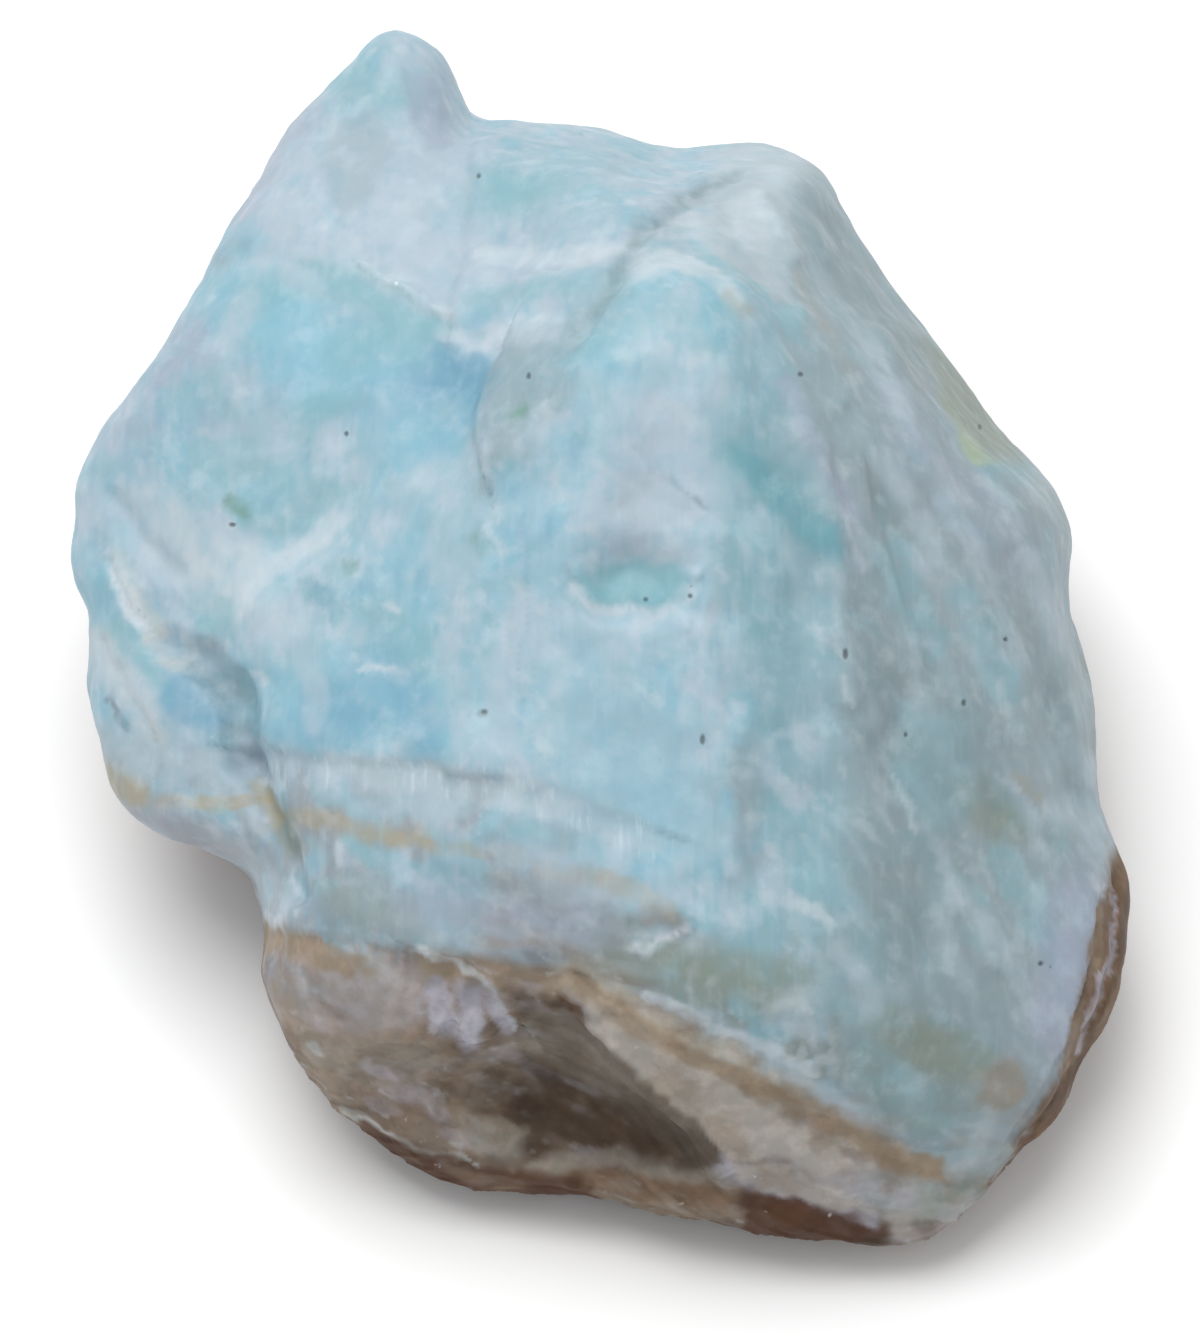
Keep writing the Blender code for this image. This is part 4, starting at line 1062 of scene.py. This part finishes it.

# %% [markdown]
# The brown foot
#
# The foot breaks into faces of different brown. White and lavender chips stand out, a few small
# white dots are painted glints, and rust gathers along its lower edge.

# %% Brush the foot
FOOT_STROKES = [
    ("tan", 0.85, 1.0, 0.6, [(-23, -18.8), (-20, -19.3), (-17.3, -21)]),
    ("tan", 0.7, 0.9, 0.7, [(-14.7, -22.3), (-10.7, -21.3), (-5.3, -22.3)]),
    ("lavender", 0.6, 2.2, 0.6, [(-20, -22.3), (-16.7, -23.3), (-12.7, -22.7)]),
    ("tan", 0.8, 0.6, 0.5, [(-18.1, -20.7), (-16.5, -20.9), (-14.7, -21)]),
    ("tan", 0.7, 0.9, 0.6, [(-21, -22.3), (-20, -24.7), (-18.8, -27.3)]),
    ("tan", 0.6, 1.6, 0.7, [(-16.7, -26.3), (-12, -26), (-8.7, -27.3)]),
    ("tan", 0.8, 0.8, 0.5, [(-11.3, -20.5), (-9.3, -21.2), (-7.6, -22.3)]),
    ("lavender", 0.85, 0.7, 0.5, [(-10.7, -22.3), (-10.5, -23.7), (-10.1, -25.2)]),
    ("lavender", 0.9, 0.8, 0.5, [(-8.9, -22.3), (-8.7, -24), (-8.6, -25.7)]),
    ("lavender", 0.8, 0.7, 0.5, [(-7.5, -22.3), (-6.9, -23.7), (-6.2, -24.7)]),
    ("white", 0.6, 0.25, 0.6,
        [(-11.9, -19.7), (-10, -20.5), (-8.5, -21.1), (-7.1, -22.5), (-5.7, -24.9)]),
    ("umber", 0.55, 2.2, 0.6, [(-10, -27.7), (-6.7, -28.7), (-4, -30)]),
    ("umber", 0.8, 3.0, 0.5, [(-2.7, -29.7), (1.3, -30.7), (6, -33)]),
    ("umber", 0.7, 1.0, 0.6, [(-6.3, -33), (-4, -33.3)]),
    ("umber", 0.6, 1.0, 0.6, [(-4.7, -23), (-3, -23.7), (-1.7, -25.3)]),
    ("stone grey", 0.75, 1.5, 0.6, [(-3.7, -25.3), (-0.7, -26.3), (1.3, -28.3)]),
    ("stone grey", 0.7, 1.0, 0.6, [(-8.7, -31.3), (-7.3, -32), (-6.1, -32.7)]),
    ("umber", 0.5, 0.9, 0.6, [(1.3, -27.7), (4.7, -30.3), (7.5, -33.3)]),
    ("lavender", 0.85, 0.5, 0.5, [(-15.7, -27.2), (-14.5, -27.7), (-13.2, -28.1)]),
    ("lavender", 0.6, 0.6, 0.6, [(-13.3, -29.3), (-11.3, -29.9), (-10.3, -30.7)]),
    # Painted glints: three small white dots.
    ("white", 0.7, 0.3, 0.5, [(-15.6, -27.1), (-14.9, -27.5)]),
    ("white", 0.7, 0.25, 0.5, [(-11.7, -19.7), (-11.3, -20)]),
    ("white", 0.7, 0.3, 0.5, [(-19, -26), (-18.6, -26.4)]),
    ("rust", 0.75, 0.5, 0.5, [(-2.5, -22.7), (-1.5, -23.5), (-0.7, -24.7)]),
    ("lavender", 0.7, 0.25, 0.5, [(-2, -22.5), (-0.9, -23.5), (-0.4, -24.8)]),
    ("stone grey", 0.7, 0.7, 0.6, [(-4.2, -34.3), (1.1, -33.5), (5.9, -34.7), (8, -34.5)]),
    ("rim brown", 0.7, 1.0, 0.6, [(-4, -35.7), (1.3, -35.3), (8, -36.3)]),
    ("rust", 0.8, 1.2, 0.4, [(-16.5, -31.9), (-14.3, -33), (-10.7, -34.4), (-6.7, -35.3), (-2, -36)]),
    ("cream", 0.55, 0.2, 0.6,
        [(-17.1, -30.5), (-15.2, -31.2), (-13.3, -32.3), (-11.9, -33.1), (-8.3, -33.9)]),
    ("rust", 0.95, 1.4, 0.4, [(10.5, -36.1), (12.7, -37), (15.3, -37.9), (17.7, -38.4)]),
    ("umber", 0.7, 0.8, 0.6, [(6.7, -38.1), (13.3, -39.2), (18.7, -39.5)]),
]

colours = brushed(colours, FOOT_STROKES)

# %% [markdown]
# The lit slope and the right rim
#
# A tan band crosses the lit slope at the right of the foot. On the rim the layers are seen
# edge-on, so they show as close brown and lavender lines.

# %% Brush the slope and the rim
SLOPE_RIM = [
    ("sand", 0.7, 1.0, 0.6, [(-2, -21.5), (2.7, -24), (6.7, -26.3), (13.3, -29)]),
    ("tan", 0.85, 0.8, 0.5,
        [(-2.1, -21.7), (2.4, -24.9), (8.7, -28.2), (15.8, -31.2), (18.8, -33.3), (22.4, -34.2)]),
    ("olive grey", 0.7, 1.4, 0.6, [(18, -35.7), (21.3, -36.3), (24, -36)]),
    ("stone grey", 0.7, 1.6, 0.6, [(0.1, -25.7), (3.3, -27.7), (5.9, -29.7)]),
    ("stone grey", 0.6, 1.8, 0.8, [(3.3, -27.3), (9.3, -30.7), (14.7, -33.3)]),
    ("lavender", 0.7, 0.6, 0.6, [(8, -34), (12.7, -36), (17.7, -37.5)]),
    ("lavender", 0.5, 1.0, 0.8, [(10.7, -32), (15.3, -34.7), (20, -36)]),
    ("milk", 0.5, 0.6, 0.7, [(6.7, -24), (12.7, -27.7), (16.7, -30.7)]),
    ("umber", 0.7, 0.6, 0.6, [(35, -16.7), (34, -21.3), (31.7, -26.7), (28, -32.7)]),
    ("lavender", 0.5, 0.45, 0.6, [(33.3, -15.3), (33.7, -20.7), (31.3, -26)]),
    ("white", 0.7, 0.45, 0.5, [(33.5, -15.9), (33.8, -16.4)]),
    ("rust", 0.6, 0.5, 0.6, [(31.3, -28.3), (30, -30.7), (28.7, -32.3)]),
]

colours = brushed(colours, SLOPE_RIM)

# %% [markdown]
# Crisp patches in the blue
#
# Some marks have a clear edge all round, where the stone broke through a cloud of colour.
# They are drawn as closed outlines and filled in, after the soft strokes.

# %% Fill the patches in the blue
BLUE_PATCHES = [
    ("slate", 0.4, 0, 0.8,
        [(28, 0.7), (30.7, -0.7), (32.3, -6), (32, -11.3), (29.3, -9.3), (28, -3.3), (28, 0.7)]),
    ("teal veil", 0.35, 0, 0.8,
        [(20, -3.3), (24, -4.7), (24.7, -10), (22, -12.7), (19.3, -9.3), (20, -3.3)]),
    ("bright blue", 0.6, 0, 0.8,
        [(-1.7, -2), (2.7, -2.7), (6.7, -7.3), (7.3, -12), (6, -14), (1.3, -12), (-2.7, -9.3),
         (-2.7, -4.7), (-1.7, -2)]),
    ("slate", 0.5, 0, 0.8,
        [(13.3, 32), (15.3, 30), (18.7, 24.7), (22, 20.3), (20.3, 19.3), (17.3, 21.3), (14.3, 26),
         (13.3, 32)]),
    ("milk blue", 0.6, 0, 0.6,
        [(-8, -12.5), (-4, -13), (0, -14.1), (-2.7, -14.8), (-6.7, -14.4), (-8, -12.5)]),
    ("teal veil", 0.5, 0, 0.4,
        [(-20, 25.9), (-16.7, 25.2), (-13.7, 23.3), (-10.7, 21.7), (-8.7, 21.2), (-11.3, 21),
         (-14.7, 22.1), (-18, 24), (-20, 25.9)]),
    ("teal veil", 0.5, 0, 0.4,
        [(-17, 38.3), (-13.3, 38.8), (-12, 37.7), (-13.7, 36.8), (-16.7, 37), (-17, 38.3)]),
    ("grey veil", 0.5, 0, 0.5,
        [(-18, 35.3), (-14.7, 36), (-13.9, 33.3), (-15.3, 30), (-17.3, 28.7), (-18.5, 31.3),
         (-18, 35.3)]),
    ("teal veil", 0.5, 0, 0.4,
        [(-8.7, 32.3), (-5.3, 32), (-3.7, 30.7), (-5.3, 29), (-8, 30), (-8.7, 32.3)]),
    ("lilac", 0.5, 0, 0.4,
        [(-13.3, 38.7), (-10.7, 38), (-9.7, 34), (-11.3, 33.3), (-13, 36), (-13.3, 38.7)]),
    ("sky", 0.5, 0, 0.4,
        [(-25.9, 28.5), (-23.2, 28.9), (-22.1, 27.3), (-24, 25.9), (-25.7, 26.3), (-25.9, 28.5)]),
    ("milk", 0.6, 0, 0.3, [(-22.5, 27.9), (-20.7, 28.5), (-20, 26.7), (-21.3, 25.9), (-22.5, 27.9)]),
    ("tan", 0.6, 0, 0.4,
        [(25.7, -27.3), (27.3, -26.8), (28.1, -29), (26.7, -30.7), (25, -29.9), (25.7, -27.3)]),
    ("olive", 0.6, 0, 0.5,
        [(18.7, -24.5), (22, -25.2), (24, -26.8), (22, -28), (19.3, -26.8), (18.7, -24.5)]),
    ("teal veil", 0.8, 0, 0.4,
        [(-1.5, 4.3), (0, 5.6), (2.7, 6), (4.8, 5.5), (5.9, 4.3), (4.8, 3), (3.5, 2.7), (2.1, 3.3),
         (0.8, 2.9), (-0.7, 3.3), (-1.5, 4.3)]),
    ("deep teal", 0.5, 0, 0.3,
        [(-1.1, 3.5), (0.8, 3.3), (2.1, 3.7), (3.5, 3.2), (5.2, 3.6), (4.8, 2.9), (3.5, 2.6),
         (2.1, 3.2), (0.8, 2.8), (-0.7, 3.2), (-1.1, 3.5)]),
    ("milk", 0.8, 0, 0.3,
        [(1.3, 11.7), (3.7, 12.1), (6.5, 9.2), (6, 7.7), (2.7, 8), (0.8, 9.3), (1.3, 11.7)]),
    ("deep blue", 0.45, 0, 0.5,
        [(-11.2, 19.1), (-8, 19.5), (-7.1, 19.1), (-7.9, 17), (-8.5, 14.7), (-9.2, 16.7),
         (-10.9, 17), (-11.2, 19.1)]),
    ("plateau", 0.75, 0, 0.35,
        [(-6.7, 19.5), (-5.9, 21.2), (-2, 21.6), (0.2, 23.5), (-1.7, 19.9), (-3.7, 16.7), (-5.3, 14),
         (-6.9, 12), (-8, 14.5), (-7.6, 17.2), (-6.7, 19.5)]),
    ("milk", 0.6, 0, 0.3, [(-5.9, 21.3), (-2.3, 21.7), (-2.7, 20.3), (-5.7, 20), (-5.9, 21.3)]),
    ("sea green", 0.85, 0, 0.2,
        [(-5.9, 15.1), (-5.6, 15.9), (-4.7, 16.4), (-4.5, 16), (-5.2, 15.2), (-5.9, 15.1)]),
    ("apex grey", 0.75, 0, 0.4,
        [(7.6, 30.7), (10.7, 31.5), (12.7, 30), (12.7, 26), (12.4, 23.2), (9.7, 24.3), (8, 25.9),
         (6.7, 27.3), (7.6, 30.7)]),
    ("white", 0.4, 0, 0.4,
        [(8.1, 29.7), (10.5, 30.5), (11.9, 28.3), (11.3, 25.9), (9.2, 26.7), (8.1, 29.7)]),
    ("olive", 0.85, 0, 0.7,
        [(22, 20.3), (24, 19.7), (26.7, 15.7), (28.3, 12.5), (26, 12.5), (24, 14.7), (22.7, 16.7),
         (22, 20.3)]),
    ("yellow green", 0.85, 0, 0.25,
        [(23.9, 14.3), (24.5, 14.1), (25.2, 13.2), (26.1, 12.7), (25.2, 12.3), (24.1, 13.2),
         (23.9, 14.3)]),
    ("deep teal", 0.75, 0, 0.4,
        [(8.5, 13.7), (9.7, 13.2), (12.2, 10.5), (15.3, 8), (15.9, 6.5), (14.1, 6.7), (11.3, 9),
         (9, 12), (8.5, 13.7)]),
]

colours = brushed(colours, BLUE_PATCHES)

# %% [markdown]
# Crisp patches in the foot
#
# The breaks of the foot have the clearest edges of all: a dark face, partly its own brown and
# partly painted shade, a pale slope beside it, partly its own tan and partly painted light, and
# rusty crusts at the bottom. Last come the thin lines of the rim.

# %% Fill the patches in the foot
FOOT_PATCHES = [
    ("tan grey", 0.4, 0, 0.4,
        [(-20.5, -21), (-17, -21.7), (-12.1, -21), (-12, -24), (-14.7, -24.9), (-18.7, -24.5),
         (-20.3, -23.3), (-20.5, -21)]),
    ("lavender", 0.85, 0, 0.2,
        [(-11.2, -22.3), (-9.6, -22.5), (-9.5, -25), (-10.1, -25.6), (-10.7, -24.7), (-11.1, -25.1),
         (-11.2, -22.3)]),
    ("lavender", 0.9, 0, 0.2,
        [(-9.3, -21.9), (-7.9, -22.1), (-7.7, -24.7), (-8.3, -26.1), (-9.1, -25.3), (-9.3, -21.9)]),
    ("lavender", 0.8, 0, 0.2,
        [(-7.6, -22.3), (-6.7, -22.8), (-5.7, -24.9), (-6.7, -25.2), (-7.3, -24.3), (-7.6, -22.3)]),
    ("tan", 0.6, 0, 0.4,
        [(-23.4, -18.4), (-20, -18.8), (-17, -19.7), (-14.7, -20.5), (-18, -21.2), (-21.3, -20),
         (-23.2, -19.9), (-23.4, -18.4)]),
    ("stone grey", 0.6, 0, 0.4,
        [(-20, -25.3), (-16.7, -26), (-11.3, -25.7), (-10.7, -27.3), (-13.3, -29.2), (-17.3, -28.3),
         (-19.7, -26.7), (-20, -25.3)]),
    ("lavender", 0.8, 0, 0.2,
        [(-15.7, -26.9), (-14.7, -27.2), (-13.3, -28), (-13.1, -28.7), (-14.4, -28.3),
         (-15.6, -27.6), (-15.7, -26.9)]),
    ("stone grey", 0.7, 0, 0.3,
        [(-8.8, -31.3), (-6.7, -30.9), (-4.7, -31.9), (-6, -32.7), (-8, -33.2), (-9.1, -32.4),
         (-8.8, -31.3)]),
    # Painted shade on the face left of the ridge, over its own brown.
    ("ridge shade", 0.75, 0, 0.25,
        [(-4.3, -24.1), (-2.5, -23.3), (-0.6, -25.1), (2, -27.5), (5.9, -30.8), (8.1, -34), (6, -34),
         (2.7, -31.3), (-0.7, -28.7), (-3.7, -26.7), (-4.3, -24.1)]),
    ("umber", 0.6, 0, 0.6,
        [(0, -29.2), (2.7, -30), (6, -32), (8, -34), (6, -34.5), (2.7, -33.9), (0, -32.7),
         (-2.7, -31.3), (0, -29.2)]),
    # Painted light on the slope right of the ridge, over its own pale tan.
    ("light stone", 0.85, 0, 0.25,
        [(-1.3, -21.9), (1.3, -23.7), (5.3, -26.7), (9.3, -29), (14, -32), (17.3, -34.3),
         (14.7, -34.5), (11.3, -33.3), (8.4, -33.7), (6, -30.7), (2.1, -27.3), (-0.4, -24.9),
         (-1.3, -21.9)]),
    ("tan", 0.75, 0, 0.3,
        [(-2.3, -21.1), (0, -22.1), (2.4, -24.3), (8.7, -27.5), (15.8, -30.5), (18.8, -32.7),
         (22.4, -33.7), (23.3, -35.2), (20.3, -34.8), (17.3, -33.1), (13.3, -30.8), (6.7, -27.5),
         (1.7, -25.1), (-1.7, -22.3), (-2.3, -21.1)]),
    ("light stone", 0.7, 0, 0.3,
        [(8.7, -33.9), (10.7, -34), (14.7, -35.3), (17.9, -37), (15.3, -36.9), (12, -35.9),
         (9, -34.8), (8.7, -33.9)]),
    ("rust", 0.8, 0, 0.25,
        [(-17.2, -30.8), (-15.2, -31.5), (-13.3, -32.5), (-10.7, -33.3), (-8.3, -34.1),
         (-4.7, -34.8), (-0.7, -35.6), (0, -36.7), (-6.7, -36.5), (-11.3, -35.6), (-16, -33.3),
         (-17.2, -30.8)]),
    ("tan", 0.35, 0, 0.3,
        [(-10.7, -33.9), (-8, -34.5), (-5.3, -35.2), (-6.7, -35.9), (-9.3, -35.1), (-10.7, -33.9)]),
    ("rust", 0.95, 0, 0.3,
        [(10.3, -35.6), (12.7, -36.1), (15.3, -37), (18.1, -38), (16.7, -39.3), (12.7, -39.3),
         (9.3, -38.3), (10.3, -35.6)]),
    ("rim brown", 0.9, 0, 0.3,
        [(34.6, -13.2), (33.2, -16.3), (32.4, -20.5), (31.2, -24.1), (30.5, -27.1), (29.1, -30),
         (27.3, -33.6), (25.7, -35.5), (27.7, -37), (32.3, -31), (37, -22.7), (37, -15.3),
         (35, -12.5), (34.6, -13.2)]),
    ("umber", 0.6, 0.25, 0.25, [(35.2, -15.3), (34.7, -20.7), (32, -26.7), (29.3, -31)]),
    ("lavender", 0.65, 0.22, 0.3,
        [(34, -15.9), (34.3, -17.5), (33.4, -21.4), (32.2, -24.7), (31.6, -26.5)]),
    ("tan", 0.6, 0.3, 0.4, [(33.3, -17), (32.8, -20.7), (31.7, -24), (30.8, -27.3)]),
    ("rust", 0.5, 0.35, 0.4, [(32.7, -26), (31.2, -28.7), (29.3, -31.3), (27.3, -34)]),
]

colours = brushed(colours, FOOT_PATCHES)
# The pits are darkened with the pit tone as painted shade.
colours = laid_over(colours, "pit", PIT_SHADE * pit_cover(points, normals))

# %% [markdown]
# Where the grain shows
#
# Three masks tell the material where to put its finest marks: white fibres that stand like a
# comb along one seam, white flecks on broken edges, and the spots of the foot. They ride on
# the points together with the colour.

# %% Masks for fibres, flecks and the foot
COMB = [(-22.7, -7.3), (-13.3, -8.1), (-8.7, -8.7), (-3.0, -10.0), (3.5, -12.6)]
comb_gap, _ = path_distance(spots, COMB)
fibre = 0.12 * blue_part + 0.55 * (1.0 - ease(0.6, 1.8, comb_gap)) * front
foot = np.clip(1.0 - ease(-1.0, 1.5, above_foot(points)), 0, 1)
for name in ("brown", "tan grey", "rim brown"):
    outline = next(row[3] for row in FIELDS if row[0] == name)
    foot = np.maximum(foot, front * (1.0 - ease(-0.6, 0.6, outline_distance(spots, outline))))
bend = np.zeros(len(points))
for edge in skin.edges:
    if len(edge.link_faces) == 2:
        sharp = edge.calc_face_angle_signed(0.0)
        for vert in edge.verts:
            bend[vert.index] = max(bend[vert.index], sharp)
fleck = 0.6 * ease(0.3, 0.8, bend)
masks = np.stack([np.clip(fibre, 0, 1), fleck, foot, np.ones(len(points))], axis=1)
print("mean masks:", masks.mean(axis=0).round(3))

# %% [markdown]
# From points to a finished piece
#
# The skin becomes a mesh with two sets of values on its points. The piece takes the place of
# the plain solid and rides with it.

# %% Make the piece
mesh = bpy.data.meshes.new("blue_calcite")
skin.to_mesh(mesh)
skin.free()
for name, values in (
    ("stone_colour", np.concatenate([colours, np.ones((len(colours), 1))], axis=1)),
    ("stone_masks", masks),
):
    layer = mesh.attributes.new(name, "FLOAT_COLOR", "POINT")
    layer.data.foreach_set("color", values.astype(np.float32).ravel())
mesh.shade_smooth()
stone = bpy.data.objects.new("blue_calcite", mesh)
bpy.context.scene.collection.objects.link(stone)
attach(stone, "root")
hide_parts(STONE_NODE)
print("triangles in the piece:", len(mesh.polygons))

# %% [markdown]
# The material
#
# A node group mixes the grain into the colour: clouds in the blue, fibres that run up the
# stone, pale and stained spots in the foot, and white flecks. It only hands out a colour, a
# roughness and a height. The shader itself is outside the group, waxy and a little clear, so
# light bleeds a millimetre or so inside.

# %% Build the grain group
def node(tree, kind, inputs=None, **settings):
    """Adds a node; inputs are values or sockets, by name or by number."""
    added = tree.nodes.new(kind)
    for name, value in settings.items():
        setattr(added, name, value)
    for key, value in (inputs or {}).items():
        if isinstance(value, bpy.types.NodeSocket):
            tree.links.new(value, added.inputs[key])
        else:
            added.inputs[key].default_value = value
    return added


def maths(tree, operation, first, second=0.0, third=0.0):
    return node(tree, "ShaderNodeMath", {0: first, 1: second, 2: third}, operation=operation).outputs[0]


def ramp(tree, value, low, high):
    """0 below low, 1 above high, with a soft change between."""
    inputs = {"Value": value, "From Min": low, "From Max": high}
    return node(tree, "ShaderNodeMapRange", inputs, interpolation_type="SMOOTHSTEP").outputs[0]


def tinted(tree, factor, under, over, blend="MIX"):
    mixer = node(tree, "ShaderNodeMix", data_type="RGBA", blend_type=blend)
    for key, value in ((0, factor), (6, under), (7, over)):
        if isinstance(value, bpy.types.NodeSocket):
            tree.links.new(value, mixer.inputs[key])
        else:
            mixer.inputs[key].default_value = value
    return mixer.outputs[2]


def stretched(tree, place, scale):
    return node(tree, "ShaderNodeMapping", {"Vector": place, "Scale": scale}).outputs[0]


grain = bpy.data.node_groups.new("stone_grain", "ShaderNodeTree")
for name, direction, kind in (
    ("Place", "INPUT", "NodeSocketVector"), ("Colour", "INPUT", "NodeSocketColor"),
    ("Masks", "INPUT", "NodeSocketColor"), ("Colour", "OUTPUT", "NodeSocketColor"),
    ("Roughness", "OUTPUT", "NodeSocketFloat"), ("Height", "OUTPUT", "NodeSocketFloat"),
):
    grain.interface.new_socket(name, in_out=direction, socket_type=kind)
entry = grain.nodes.new("NodeGroupInput")
place, colour = entry.outputs["Place"], entry.outputs["Colour"]
split = node(grain, "ShaderNodeSeparateColor", {"Color": entry.outputs["Masks"]})
fibre_mask, fleck_mask, foot_mask = split.outputs[0], split.outputs[1], split.outputs[2]


def noise_value(scale, detail=3.0, place=place, rough=0.55):
    inputs = {"Vector": place, "Scale": scale, "Detail": detail, "Roughness": rough}
    return node(grain, "ShaderNodeTexNoise", inputs).outputs[0]


cloud = ramp(grain, noise_value(420, 4.0), 0.5, 0.72)
haze = ramp(grain, noise_value(900, 4.0), 0.35, 0.62)
blue_mask = maths(grain, "SUBTRACT", 1.0, foot_mask)
cloud_cover = maths(grain, "MULTIPLY", maths(grain, "MULTIPLY", cloud, blue_mask), 0.16)
colour = tinted(grain, cloud_cover, colour, (0.62, 0.72, 0.78, 1))
darker = tinted(grain, 1.0, colour, (0.86, 0.93, 0.96, 1), "MULTIPLY")
colour = tinted(grain, maths(grain, "MULTIPLY_ADD", haze, 0.4, 0.6), darker, colour)
upright = node(grain, "ShaderNodeMapping", {"Vector": place, "Rotation": (FACE_RISE, 0, 0)}).outputs[0]
threads = noise_value(1.0, 3.0, stretched(grain, upright, (1900, 1200, 260)))
thread_cover = maths(grain, "MULTIPLY", ramp(grain, threads, 0.52, 0.68), fibre_mask)
colour = tinted(grain, maths(grain, "MULTIPLY", thread_cover, 0.3), colour, (0.72, 0.80, 0.85, 1))
pale_cover = maths(grain, "MULTIPLY", ramp(grain, noise_value(420, 6.0), 0.44, 0.62), foot_mask)
pale_cover = maths(grain, "MULTIPLY", pale_cover, 0.55)
colour = tinted(grain, pale_cover, colour, (1.45, 1.42, 1.42, 1), "MULTIPLY")
stain_cover = maths(grain, "MULTIPLY", ramp(grain, noise_value(260, 6.0), 0.48, 0.64), foot_mask)
stain_cover = maths(grain, "MULTIPLY", stain_cover, 0.6)
colour = tinted(grain, stain_cover, colour, (0.66, 0.57, 0.49, 1), "MULTIPLY")
chips = node(grain, "ShaderNodeTexVoronoi", {"Vector": place, "Scale": 900.0}).outputs["Distance"]
chip_noise = ramp(grain, noise_value(500, 3.0), 0.6, 0.7)
fleck_cover = maths(grain, "MULTIPLY", ramp(grain, chips, 0.34, 0.22), chip_noise)
fleck_cover = maths(grain, "MULTIPLY", fleck_cover, maths(grain, "ADD", fleck_mask, 0.03))
colour = tinted(grain, maths(grain, "MULTIPLY", fleck_cover, 0.9), colour, (0.86, 0.88, 0.9, 1))
leave = grain.nodes.new("NodeGroupOutput")
grain.links.new(colour, leave.inputs["Colour"])
rough_value = maths(grain, "MULTIPLY_ADD", noise_value(300, 3.0), 0.16, 0.42)
grain.links.new(maths(grain, "MULTIPLY_ADD", foot_mask, 0.12, rough_value), leave.inputs["Roughness"])
grain.links.new(noise_value(900, 5.0, rough=0.6), leave.inputs["Height"])
print("nodes in the grain group:", len(grain.nodes))

# %% Put the grain into a waxy shader
calcite = bpy.data.materials.new("blue_calcite")
calcite.use_nodes = True
tree = calcite.node_tree
shader = tree.nodes["Principled BSDF"]
shader.inputs["IOR"].default_value = 1.5
shader.inputs["Specular IOR Level"].default_value = 0.28
shader.inputs["Subsurface Weight"].default_value = 0.18
shader.inputs["Subsurface Radius"].default_value = (0.7, 1.0, 1.1)
shader.inputs["Subsurface Scale"].default_value = 1.2 * MM
where = node(tree, "ShaderNodeTexCoord").outputs["Object"]
painted = node(tree, "ShaderNodeAttribute", attribute_name="stone_colour").outputs["Color"]
masked = node(tree, "ShaderNodeAttribute", attribute_name="stone_masks").outputs["Color"]
mixed = node(tree, "ShaderNodeGroup", node_tree=grain)
for name, socket in (("Place", where), ("Colour", painted), ("Masks", masked)):
    tree.links.new(socket, mixed.inputs[name])
bump = node(tree, "ShaderNodeBump", {
    "Height": mixed.outputs["Height"], "Strength": 0.2, "Distance": 0.1 * MM,
})
tree.links.new(mixed.outputs["Colour"], shader.inputs["Base Color"])
tree.links.new(mixed.outputs["Roughness"], shader.inputs["Roughness"])
tree.links.new(bump.outputs["Normal"], shader.inputs["Normal"])
mesh.materials.append(calcite)
print("material:", calcite.name)
